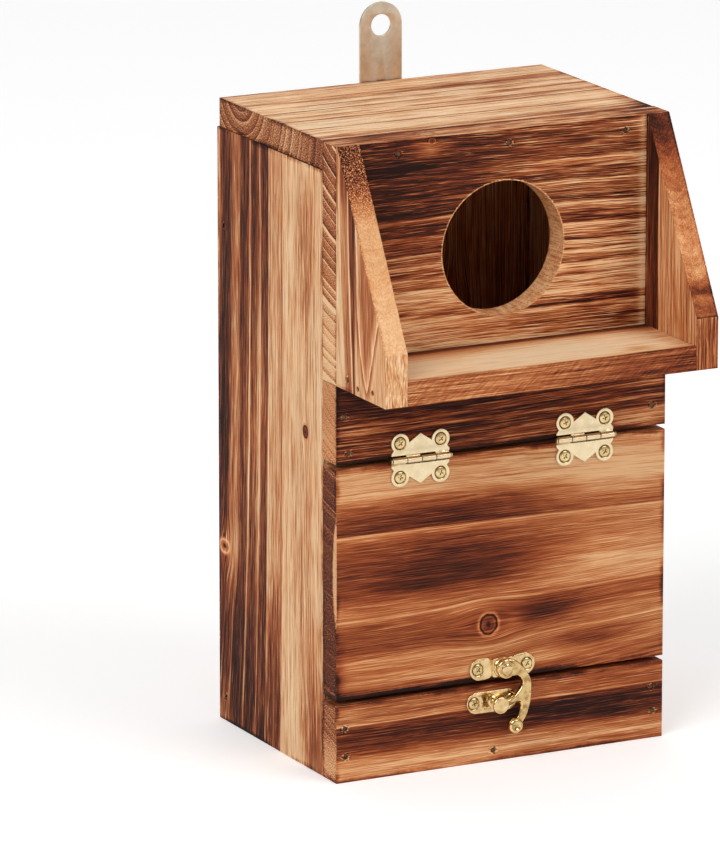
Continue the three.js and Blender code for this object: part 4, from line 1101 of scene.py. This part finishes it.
def metal(name, bright, dull, roughness, relief, scratch_size=(0.3, 0.3), cast=0.0, rim=0.0):
    """A plated or polished metal: two shades of one colour, film, fine scratches, grime and painted shade in
    corners, and a painted highlight on the rims.
    """
    material, net, shader = start_material(name)
    spot = net.node(
        "ShaderNodeVectorMath", {0: net.place("Object"), "Scale": 1 / MM}, operation="SCALE").outputs[0]
    film = net.group(dull_film, {"Place": spot, "Grain": 2.0})
    across, along = scratch_size
    scratch = net.group(fine_scratches, {"Place": spot, "Across": across, "Along": along})["Level"]
    wear_and_painted_light = net.add(net.times(film["Patch"], 0.55), net.times(film["Speck"], 0.3), net.times(scratch, 0.2))
    # With rim set, the rims are painted brighter, a painted highlight, and the faces darker, painted shade,
    # in place of reflections.
    rims = net.fade(net.math("ABSOLUTE", net.facing("Y")), 0.98, 0.75)
    wear_and_painted_light = net.math("ADD", wear_and_painted_light, net.add(0.3 * rim, net.times(rims, -1.2 * rim)), clamp=True)
    # Corners that see little sky turn brown and rougher: grime with painted shade.
    open_sky = net.node(
        "ShaderNodeAmbientOcclusion", {"Distance": 0.8 * MM}, samples=8).outputs["AO"]
    corner = net.fade(open_sky, 0.55, 0.25)
    plain = net.tint(wear_and_painted_light, bright, dull)
    net.feed(shader.inputs["Base Color"], net.tint(corner, plain, grime_and_shade_brown))
    rough = net.blend(wear_and_painted_light, *roughness)
    net.feed(shader.inputs["Roughness"], net.blend(corner, rough, 0.6))
    shader.inputs["Metallic"].default_value = 1.0
    uneven = net.noise(spot, scale=0.4, detail=1.0)
    height = net.add(scratch, net.times(film["Speck"], -0.5), net.times(uneven, cast))
    bump = net.node("ShaderNodeBump", {"Height": height, "Strength": relief, "Distance": 0.04 * MM})
    net.feed(shader.inputs["Normal"], bump.outputs[0])
    print(name, "with", len(net.tree.nodes), "nodes")
    return material


# The brown of the corners is grime and painted shade together.
print("grime is", [round(level, 3) for level in grime_and_shade_brown])

# %% [markdown]
# The six metals differ only in numbers. The waves of the casting are strongest on the hook, and the
# long scratches belong to the strap's steel alone, because it was brushed along its length.

# %% Metals
pale_brass = metal(
    "pale_brass", colour(232, 212, 174), colour(220, 198, 157), roughness=(0.26, 0.36), relief=0.15)
screw_brass = metal(
    "screw_brass", colour(232, 204, 148), colour(186, 154, 104), roughness=(0.14, 0.3), relief=0.2,
    scratch_size=(0.2, 0.2))
# The rim value paints highlights on the rims of the cast brass and shade on its faces.
polished_brass = metal(
    "polished_brass", colour(234, 206, 156), colour(190, 154, 100), roughness=(0.1, 0.24),
    relief=0.25, cast=24.0, rim=0.4)
# The hook's dark dull brown and its strong rim value are painted shade and painted highlights, in place of
# reflections of the brown boards.
hook_brass_painted_light = metal(
    "hook_brass_painted_light", colour(240, 210, 152), colour(150, 112, 58), roughness=(0.1, 0.22), relief=0.25,
    cast=30.0, rim=0.8)
nickel_steel = metal(
    "nickel_steel", colour(222, 204, 180), colour(202, 182, 156), roughness=(0.34, 0.38),
    relief=0.5, scratch_size=(0.16, 14.0))
dark_nail = metal(
    "dark_nail", colour(104, 80, 62), colour(40, 27, 20), roughness=(0.3, 0.6), relief=0.6,
    scratch_size=(0.2, 0.2))

# %% [markdown]
# ## Making thin and turned pieces
# Two kinds of shape make all the hardware. Sheet pieces are an outline with holes, given a thickness
# and rounded rims: a filled curve does that well, and its arcs can have as many points as the eye
# needs. Screws, pins, rivet and stud are turned: a profile spun about its axis. Both are drawn in
# millimetres with the face towards +Z, then laid on the box so that +Z looks out of the front.

# %% Meshes
same_point = 0.002


def soften(mesh, sharp):
    """Smooth shading, but for edges that bend by more than so many degrees."""
    for face in mesh.polygons:
        face.use_smooth = True
    mesh.set_sharp_from_angle(angle=math.radians(sharp))


def finish_mesh(build, name, sharp=32):
    """Closes a bmesh drawn in millimetres into a mesh in metres with smooth and sharp edges set."""
    bmesh.ops.remove_doubles(build, verts=build.verts, dist=same_point)
    bmesh.ops.recalc_face_normals(build, faces=build.faces)
    bmesh.ops.scale(build, vec=(MM, MM, MM), verts=build.verts)
    mesh = bpy.data.meshes.new(name)
    build.to_mesh(mesh)
    build.free()
    soften(mesh, sharp)
    return mesh


def worked_out(shown):
    """The mesh that a shown curve or mesh has once its modifiers are applied. The object goes."""
    bpy.context.view_layer.update()
    mesh = bpy.data.meshes.new_from_object(shown.evaluated_get(bpy.context.evaluated_depsgraph_get()))
    bpy.data.objects.remove(shown)
    return mesh


print("points closer than", same_point, "mm become one")

# %% [markdown]
# Blender has a modifier that spins a profile. Placing the rings of points one by one is as short, and
# it lets a point on the axis stay one point, so a dome closes without a hole or a doubled face.

# %% Turned pieces
plain_sides = 40


def turned_build(profile, sides=plain_sides, closed=False):
    """A profile of (radius, height) spun about Z. An open profile starts and ends on the axis."""
    build = bmesh.new()
    rings = []
    for radius, height in profile:
        if radius == 0:
            rings.append([build.verts.new((0, 0, height))])
            continue
        rings.append([
            build.verts.new((
                radius * math.cos(math.tau * side / sides), radius * math.sin(math.tau * side / sides),
                height))
            for side in range(sides)])
    pairs = list(zip(rings, rings[1:]))
    if closed:
        pairs.append((rings[-1], rings[0]))
    for one, other in pairs:
        for side in range(sides):
            after = (side + 1) % sides
            corners = [one[side % len(one)], one[after % len(one)],
                       other[after % len(other)], other[side % len(other)]]
            distinct = list(dict.fromkeys(corners))
            if len(distinct) > 2:
                build.faces.new(distinct)
    return build


def merge(build, other, matrix=None):
    """Adds another bmesh to the first, moved by a matrix."""
    if matrix is not None:
        bmesh.ops.transform(other, matrix=matrix, verts=other.verts)
    mesh = bpy.data.meshes.new("merge")
    other.to_mesh(mesh)
    other.free()
    build.from_mesh(mesh)
    bpy.data.meshes.remove(mesh)


print("turned pieces have", plain_sides, "sides or as many as they ask for")

# %% [markdown]
# Every finished piece is laid on the box, told which body it moves with and which solid it stands
# for. One function does this for all, so no piece is left behind when the door turns.

# %% Laying pieces in their place
OUT_OF_FRONT = Matrix(((1, 0, 0, 0), (0, 0, -1, 0), (0, 1, 0, 0), (0, 0, 0, 1)))
OUT_OF_BACK = Matrix(((-1, 0, 0, 0), (0, 0, 1, 0), (0, 1, 0, 0), (0, 0, 0, 1)))


def lay_piece(name, mesh, matrix, material, slot, body, *replaced):
    """Lays a mesh in its place and lets it ride on a body. Nodes that it stands for are hidden."""
    mesh.transform(matrix)
    mesh.materials.append(material)
    piece = show(name, mesh)
    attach(piece, body)
    if replaced:
        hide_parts(*replaced)


def fit_piece(node, mesh, matrix, material, slot):
    """Lays a finer mesh in the place of a node's solid."""
    lay_piece(node + "_fine", mesh, matrix, material, slot, body_of[node], node)


def place_at(point, outlook=OUT_OF_FRONT, turn=0.0):
    """The matrix that lays a piece at a point, in metres, looking out and turned in degrees."""
    return Matrix.Translation(point) @ outlook @ Matrix.Rotation(math.radians(turn), 4, "Z")


print("bodies to ride on:", sorted(set(body_of.values())))

# %% [markdown]
# ## Screws
# Small brass screws with a low domed head and a cross recess hold the hinges, the latch and the
# keeper, each stopped at its own angle. Two steel ones hold the strap. The head is turned, the cross
# is cut out of it, and the shank gets a few ridges for its thread. A cross that is only dark paint
# would look flat when the light comes from the side.

# %% Screw
def screw_mesh(head, head_depth, dome, shank, shank_length, cross, cross_width, cross_depth):
    """A countersunk cross-head screw whose rim lies at height zero."""
    profile = [(0, dome), (head * 0.35, dome * 0.95), (head * 0.7, dome * 0.7), (head * 0.93, dome * 0.2)]
    profile += [(head, -0.05), (shank, -head_depth)]
    ridges = 7
    pitch = (shank_length - shank) / ridges
    for ridge in range(ridges):
        top = -head_depth - pitch * ridge
        profile += [(shank * 0.78, top - pitch * 0.25), (shank, top - pitch * 0.6)]
    profile.append((0, -head_depth - shank_length))
    screw = show("screw", finish_mesh(turned_build(profile, sides=32), "screw", sharp=40))
    cutter_build = bmesh.new()
    for turn in (0, 90):
        bar = bmesh.new()
        bmesh.ops.create_cube(bar, size=1.0)
        # The recess narrows towards its foot.
        for corner in bar.verts:
            low = corner.co.z < 0
            corner.co.x *= cross * (0.55 if low else 1.0)
            corner.co.y *= cross_width * (0.7 if low else 1.0)
            corner.co.z = dome - cross_depth if low else dome + 1.0
        merge(cutter_build, bar, Matrix.Rotation(math.radians(turn), 4, "Z"))
    cutter = show("cross", finish_mesh(cutter_build, "cross", sharp=30))
    cut = screw.modifiers.new("cross", "BOOLEAN")
    cut.operation = "DIFFERENCE"
    cut.solver = "EXACT"
    cut.use_self = True
    cut.object = cutter
    mesh = worked_out(screw)
    bpy.data.objects.remove(cutter)
    soften(mesh, 35)
    return mesh


brass_dome = 0.3
brass_screw = screw_mesh(
    head=2.1, head_depth=0.75, dome=brass_dome, shank=0.95, shank_length=8.0, cross=3.0,
    cross_width=0.6, cross_depth=0.6)
strap_screw = screw_mesh(
    head=3.0, head_depth=1.1, dome=0.02, shank=1.4, shank_length=8.0, cross=3.6, cross_width=0.65,
    cross_depth=0.8)
print("a screw has", len(brass_screw.polygons), "faces")

# %% [markdown]
# A screw stops where it is tight, so the crosses stand at different angles. The turns are written
# down and not drawn by chance, because the ones in view follow the real box.

# %% Screws in their places
screw_turns = {
    "left_hinge_frame_screw_left": 40, "left_hinge_frame_screw_right": 133,
    "left_hinge_door_screw_left": 76, "left_hinge_door_screw_right": 158,
    "right_hinge_frame_screw_left": 18, "right_hinge_frame_screw_right": 108,
    "right_hinge_door_screw_left": 144, "right_hinge_door_screw_right": 61,
    "latch_screw_left": 47, "latch_screw_right": 148, "keeper_screw_left": 20,
    "keeper_screw_right": 148,
}
for name, turn in screw_turns.items():
    point = middle_of(name)
    point.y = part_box(name)[0].y + brass_dome * MM
    fit_piece(name, brass_screw.copy(), place_at(point, turn=turn), screw_brass, "polished_brass")
strap_screw_sink = 0.05
for name in ("hanger_screw_lower", "hanger_screw_upper"):
    point = middle_of(name)
    point.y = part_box(name)[1].y - strap_screw_sink * MM
    fit_piece(name, strap_screw.copy(), place_at(point, OUT_OF_BACK, 45), nickel_steel, "nickel_steel")
print("screws:", len(screw_turns) + 2)

# %% [markdown]
# ## Outlines and sheet pieces
# A sheet piece starts as an outline. Lines and arcs are enough for it, and points that would almost
# meet are left out, because a rim can't be rounded round them.

# %% Outlines
def arc(middle, radius, start, end, steps):
    """Points on an arc. The angles are in degrees, anticlockwise from +X."""
    points = []
    for step in range(steps + 1):
        angle = math.radians(start + (end - start) * step / steps)
        points.append((middle[0] + radius * math.cos(angle), middle[1] + radius * math.sin(angle)))
    return points


def round_hole(middle, radius, steps=32):
    """A full circle, drawn clockwise as holes are."""
    return arc(middle, radius, 360, 0, steps)[:-1]


def spaced(points, gap):
    """A closed outline without the points that lie closer than the gap to the one before."""
    kept = [points[0]]
    for point in points[1:]:
        if math.dist(point, kept[-1]) > gap:
            kept.append(point)
    if math.dist(kept[0], kept[-1]) < gap:
        kept.pop()
    return kept


print("a round hole has", len(round_hole((0, 0), 1.0)), "points")

# %% [markdown]
# Blender fills a flat curve and leaves its holes open, gives it a thickness and rounds its rims. An
# extruded face with a bevel modifier would do too, but its rims break down in narrow places.

# %% Sheet pieces
plain_rim_steps = 2


def sheet_build(outline, holes, front, back, rim, rim_steps=plain_rim_steps):
    """A sheet in the XY plane between two heights, with rounded rims, as a bmesh."""
    curve = bpy.data.curves.new("outline", "CURVE")
    curve.dimensions = "2D"
    curve.fill_mode = "BOTH"
    for points in [outline, *holes]:
        spline = curve.splines.new("POLY")
        spline.points.add(len(points) - 1)
        for point, (x, y) in zip(spline.points, points):
            point.co = (x, y, 0, 1)
        spline.use_cyclic_u = True
    curve.extrude = (front - back) / 2 - rim
    curve.bevel_depth = rim
    curve.bevel_resolution = rim_steps
    curve.offset = -rim
    mesh = worked_out(show("outline", curve))
    build = bmesh.new()
    build.from_mesh(mesh)
    bmesh.ops.remove_doubles(build, verts=build.verts, dist=same_point)
    bmesh.ops.translate(build, vec=(0, 0, (front + back) / 2), verts=build.verts)
    bpy.data.curves.remove(curve)
    bpy.data.meshes.remove(mesh)
    return build


print("rims have", plain_rim_steps, "steps or as many as they ask for")

# %% [markdown]
# ## Hinges
# Each hinge is two pressed leaves and a pin. A leaf has a straight foot with two rolled knuckles, a
# round lobe at each side and a peak between them. Each lobe has a countersunk seat for its screw.
# Both leaves are the same piece: the lower one is the upper one turned half round. The plate and its
# two knuckles are made apart and joined, which is simpler than rolling one strip.

# %% Hinge leaf
leaf_half = 12.2
leaf_front, leaf_back = -0.5, -1.2
leaf_foot, leaf_shoulder, leaf_peak = 1.75, 2.6, 9.8
leaf_soft, knuckle_soft = 0.14, 0.12
peak_half, knuckle_root = 0.25, 0.3
lobe = (8.5, 6.55)
lobe_radius = 3.75
knuckle_radius, pin_bore = 1.2, 0.6
knuckle_length, knuckle_pitch = 5.8, 6.1
knuckle_play = (knuckle_pitch - knuckle_length) / 2
seat_radius, screw_hole = 2.65, 2.2


def leaf_mesh():
    """A hinge leaf about the pin's middle, which runs along X. Its plate stands up along Y."""
    starts = [-leaf_half + slot * knuckle_pitch + knuckle_play for slot in (1, 3)]
    outline = [(-leaf_half, leaf_foot), (-leaf_half, leaf_shoulder)]
    outline += arc((-lobe[0], lobe[1]), lobe_radius, 225, 0, 30)
    outline += [(-peak_half, leaf_peak - peak_half), (0, leaf_peak), (peak_half, leaf_peak - peak_half)]
    outline += arc(lobe, lobe_radius, 180, -45, 30)
    outline += [(leaf_half, leaf_shoulder), (leaf_half, leaf_foot)]
    for start in reversed(starts):
        end = start + knuckle_length
        outline += [
            (end, leaf_foot), (end, knuckle_root), (start, knuckle_root), (start, leaf_foot)]
    outline = spaced(outline, 0.02)
    outline.reverse()
    holes = [round_hole((sign * lobe[0], lobe[1]), seat_radius) for sign in (-1, 1)]
    build = sheet_build(outline, holes, leaf_front, leaf_back, rim=leaf_soft)
    wall = knuckle_radius - knuckle_soft
    for start in starts:
        tube = turned_build([
            (pin_bore, 0), (wall, 0), (knuckle_radius, knuckle_soft),
            (knuckle_radius, knuckle_length - knuckle_soft), (wall, knuckle_length),
            (pin_bore, knuckle_length)], sides=32, closed=True)
        merge(build, tube, Matrix.Translation((start, 0, 0)) @ Matrix.Rotation(math.pi / 2, 4, "Y"))
    return finish_mesh(build, "leaf")


print("a leaf is", 2 * leaf_half, "mm wide")

# %% [markdown]
# A countersunk seat is a cone pressed into the sheet. The leaf's holes are straight, so a turned
# ring with a sloping wall is set in each. Cutting the cone out of the leaf would spoil its clean rim.

# %% Screw seats
def screw_seats(node, place, reach, height, front, slot):
    """The sloping walls of a plate's two countersunk seats, which have no solid of their own."""
    for side, sign in (("left", -1), ("right", 1)):
        wall = turned_build([
            (seat_radius + 0.1, -0.02), (seat_radius - 0.06, -0.04), (screw_hole, -0.42),
            (screw_hole, -0.6), (seat_radius + 0.1, -0.6)], closed=True)
        seat = place @ Matrix.Translation((sign * reach * MM, height * MM, front * MM))
        lay_piece(
            f"{node}_seat_{side}", finish_mesh(wall, "seat", sharp=60), seat, screw_brass, slot,
            body_of[node])


print("seats are", 2 * seat_radius, "mm wide and", 2 * screw_hole, "mm at the foot")

# %% [markdown]
# The pin's middle is the axis that the door turns on, so it places the leaves too. The pin itself is
# a thin rod with a head at each end.

# %% Hinges
pin_radius, pin_head, pin_soft = 0.5, 0.95, 0.15
pin_head_length = 0.5

for side in ("left", "right"):
    pin_node = side + "_hinge_pin"
    middle = middle_of(pin_node)
    for part, turn in (("frame", 0), ("door", 180)):
        node = f"{side}_hinge_{part}_leaf"
        place = place_at(middle, turn=turn)
        fit_piece(node, leaf_mesh(), place, pale_brass, "pale_brass")
        screw_seats(node, place, *lobe, leaf_front, "pale_brass")
    half = (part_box(pin_node)[1].x - middle.x) / MM
    neck = half - pin_head_length
    pin = turned_build([
        (0, -half), (pin_head * 0.7, -half), (pin_head, -half + pin_soft), (pin_head, -neck),
        (pin_radius, -neck), (pin_radius, neck), (pin_head, neck), (pin_head, half - pin_soft),
        (pin_head * 0.7, half), (0, half)], sides=32)
    turn_over = Matrix.Translation(middle) @ Matrix.Rotation(math.pi / 2, 4, "Y")
    fit_piece(pin_node, finish_mesh(pin, "pin"), turn_over, pale_brass, "pale_brass")
print("pins are", round(2 * half, 1), "mm long")

# %% [markdown]
# ## The latch
# The latch is cast: a plate with two screw lobes and a raised pad, a hook that turns on a rivet, and
# a thumb ball at the hook's tail. Below it, the keeper carries a stud with a wide flat head. The
# plates are flat pieces with rounded rims, and all that is round on them is turned.

# %% Latch plate
def on_the_front(node):
    """The place of a piece of the latch, where its middle meets the boards' front face."""
    point = middle_of(node)
    point.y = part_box("clean_out_door")[0].y
    return place_at(point)


latch_place = on_the_front("latch_plate")
plate_half, plate_lobe, plate_waist, waist_x = 13.95, 4.3, 3.3, 5.02
plate_front, plate_back, plate_soft = 1.0, 0.1, 0.22
latch_screw_reach = 10.45


def quadratic(start, pull, end, steps):
    """Points on a curve that starts towards pull and ends coming from it, without its first point."""
    points = []
    for step in range(1, steps + 1):
        share = step / steps
        rest = 1 - share
        points.append(tuple(
            rest * rest * a + 2 * rest * share * b + share * share * c
            for a, b, c in zip(start, pull, end)))
    return points


def mirrored(points):
    """The points, then the same ones on the other side of Y, to close a loop that is symmetric."""
    return points + [(-x, y) for x, y in reversed(points)]


lobe_middle = plate_half - plate_lobe
right_half = quadratic((waist_x, -plate_waist), (waist_x, -plate_lobe), (lobe_middle, -plate_lobe), 10)
right_half = [(waist_x, -plate_waist)] + right_half + arc((lobe_middle, 0), plate_lobe, -90, 90, 28)[1:]
right_half += quadratic((lobe_middle, plate_lobe), (waist_x, plate_lobe), (waist_x, plate_waist), 10)
holes = [round_hole((sign * latch_screw_reach, 0), seat_radius) for sign in (-1, 1)]
build = sheet_build(mirrored(right_half), holes, plate_front, plate_back, rim=plate_soft)
pad_half, pad_high, pad_round = 4.5, 3.7, 0.8
pad = arc((pad_half - pad_round, -pad_high + pad_round), pad_round, -90, 0, 5)
pad += arc((pad_half - pad_round, pad_high - pad_round), pad_round, 0, 90, 5)
merge(build, sheet_build(mirrored(pad), [], 1.75, 0.6, rim=0.25))
boss = turned_build([
    (1.32, 0.6), (4.3, 0.6), (4.2, 1.9), (3.95, 2.3), (3.7, 2.5), (2.0, 2.5), (1.32, 2.5)],
    sides=48, closed=True)
merge(build, boss)
fit_piece(
    "latch_plate", finish_mesh(build, "latch_plate"), latch_place, polished_brass, "polished_brass")
print("latch plate is", 2 * plate_half, "mm wide")

# %% [markdown]
# The rivet is a turned pin with a low head at the front, which holds the hook on the plate's boss.

# %% Rivet
rivet = turned_build([
    (0, 0.1), (1.9, 0.1), (1.9, 0.7), (1.2, 0.7), (1.2, 5.1), (2.1, 5.1), (2.1, 5.2), (1.95, 5.38),
    (1.5, 5.53), (0.8, 5.6), (0, 5.6)])
fit_piece(
    "latch_rivet", finish_mesh(rivet, "latch_rivet"), latch_place, polished_brass, "polished_brass")
print("rivet at", [round(value / MM, 1) for value in latch_place.translation], "mm")

# %% [markdown]
# The keeper plate is a plain round-ended bar, so two arcs make its whole outline. The stud's head is
# flat with a shallow dish, and its neck is where the hook's tongue rests.

# %% Keeper plate and stud
keeper_place = on_the_front("keeper_plate")
keeper_half, keeper_round, keeper_screw_reach = 10.7, 4.2, 7.7
stud_shift, stud_hole = 0.5, 1.42
outline = arc((keeper_half - keeper_round, 0), keeper_round, -90, 90, 32)
outline += arc((-keeper_half + keeper_round, 0), keeper_round, 90, 270, 32)
holes = [round_hole((sign * keeper_screw_reach, 0), seat_radius) for sign in (-1, 1)]
holes.append(round_hole((stud_shift, 0), stud_hole, 24))
build = sheet_build(outline, holes, plate_front, plate_back, rim=plate_soft)
fit_piece(
    "keeper_plate", finish_mesh(build, "keeper_plate"), keeper_place, polished_brass, "polished_brass")
screw_seats("latch_plate", latch_place, latch_screw_reach, 0, plate_front, "polished_brass")
screw_seats("keeper_plate", keeper_place, keeper_screw_reach, 0, plate_front, "polished_brass")

stud = turned_build([
    (0, 0.1), (1.3, 0.1), (1.3, 1.1), (2.3, 1.1), (2.3, 1.5), (2.0, 1.75), (1.3, 1.9), (1.3, 6.4),
    (2.6, 6.4), (3.05, 6.5), (3.3, 6.85), (3.3, 7.5), (3.22, 7.72), (3.02, 7.9), (2.75, 7.97),
    (2.6, 7.93), (2.45, 7.9), (0, 7.92)], sides=56)
fit_piece(
    "keeper_stud", finish_mesh(stud, "keeper_stud", sharp=40), on_the_front("keeper_stud"),
    polished_brass, "polished_brass")
print("keeper plate is", 2 * keeper_half, "mm wide")

# %% [markdown]
# The hook's tongue lies behind the head of the stud. A hook could be swept along its middle line,
# but its width changes all the way. So its outline is a few points joined by a smooth curve, and a
# wide rounding on its rims gives the soft look of a casting.

# %% Hook
hook_reach, hook_drop, head_radius = 10.6, 22.5, 3.85
hook_front, hook_back, hook_soft = 5.0, 2.8, 0.68
outer_shares = [
    (0.34, 0.142), (0.62, 0.03), (0.86, -0.12), (0.98, -0.25), (1, -0.42), (0.975, -0.6),
    (0.83, -0.83), (0.62, -0.985), (0.4, -1.075), (0.2, -1.04), (0.26, -0.94)]
lower_shares = [
    (0.46, -0.86), (0.575, -0.74), (0.58, -0.64), (0.53, -0.595), (0.36, -0.59), (0.14, -0.605)]
inner_shares = [
    (0.14, -0.535), (0.36, -0.475), (0.57, -0.365), (0.645, -0.27), (0.57, -0.19), (0.42, -0.135)]
tongue_x, tongue_z, tongue_half = -2.3, -13.1, 0.75
ball_share = 0.33


def smooth(points, steps):
    """A smooth curve through the points, with that many steps between each two."""
    result = []
    last = len(points) - 1
    for index in range(last):
        before, here = points[max(index - 1, 0)], points[index]
        there, after = points[index + 1], points[min(index + 2, last)]
        for step in range(steps):
            t = step / steps
            result.append(tuple(
                0.5 * (2 * b + (c - a) * t + (2 * a - 5 * b + 4 * c - d) * t * t
                       + (3 * b - a - 3 * c + d) * t ** 3)
                for a, b, c, d in zip(before, here, there, after)))
    result.append(points[-1])
    return result


def hook_points(shares):
    """Points in millimetres, from shares of the hook's reach and drop."""
    return [(x * hook_reach, z * hook_drop) for x, z in shares]


outline = smooth([(0, head_radius)] + hook_points(outer_shares), 5)
outline += smooth(hook_points(lower_shares), 5)
outline += arc((tongue_x + tongue_half, tongue_z), tongue_half, 270, 90, 8)
outline += smooth(hook_points(inner_shares), 5)
outline += arc((0, 0), head_radius, -54, -256, 26)
outline = spaced(outline, 0.08)
outline.reverse()
rivet_hole = round_hole((0, 0), 1.3)
build = sheet_build(outline, [rivet_hole], hook_front, hook_back, rim=hook_soft, rim_steps=4)
head_ring = turned_build([
    (2.3, 4.7), (2.35, 5.02), (2.6, 5.14), (3.1, 5.12), (3.35, 4.98), (3.35, 4.7)],
    sides=48, closed=True)
merge(build, head_ring)
ball = turned_build([
    (0, 0), (1.4, 0.08), (2.3, 0.4), (2.85, 1.0), (3.0, 1.9), (2.9, 2.9), (2.55, 3.6), (2.1, 3.92),
    (1.7, 3.9), (1.2, 3.55), (0.6, 3.3), (0, 3.25)], sides=48)
merge(build, ball, Matrix.Translation((hook_reach * ball_share, -hook_drop, hook_back)))
fit_piece(
    "latch_hook", finish_mesh(build, "latch_hook", sharp=40), latch_place, hook_brass_painted_light,
    "polished_brass")
print("hook hangs", hook_drop, "mm below its rivet")

# %% [markdown]
# ## The hanger strap and the nails
# The strap is a flat strip with a round top and a hole to hang by. Its brushed lines run up and
# down. It is one more sheet piece, with its outline worked out from its solid's size. The nails keep
# their solids: only their small dark heads show, and the torn wood round each does more for the look.

# %% Strap and nails
strap_low, strap_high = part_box("hanger_strap")
strap_width, strap_thick, strap_length = (strap_high - strap_low) / MM
strap_half, strap_corner = strap_width / 2, 3
hanging_hole, screw_clearance = 4.2, 3.3
strap_screw_heights = (12.0, 36.0)
hole_height = strap_length - strap_half
outline = arc((0, hole_height), strap_half, 0, 180, 48)
outline += arc((-strap_half + strap_corner, strap_corner), strap_corner, 180, 270, 10)
outline += arc((strap_half - strap_corner, strap_corner), strap_corner, 270, 360, 10)
holes = [round_hole((0, hole_height), hanging_hole, 48)]
holes += [round_hole((0, height), screw_clearance) for height in strap_screw_heights]
build = sheet_build(outline, holes, strap_thick, 0, rim=plate_soft)
foot = Vector((middle_of("hanger_strap").x, strap_low.y, strap_low.z))
fit_piece(
    "hanger_strap", finish_mesh(build, "hanger_strap"), place_at(foot, OUT_OF_BACK), nickel_steel,
    "nickel_steel")
for name, node in nodes.items():
    if "_nail_" in name:
        node.data.materials.clear()
        node.data.materials.append(dark_nail)
print("strap is", round(strap_length, 1), "mm long")

# %% [markdown]
# ## Finish

# %% Finish
print("box dressed")
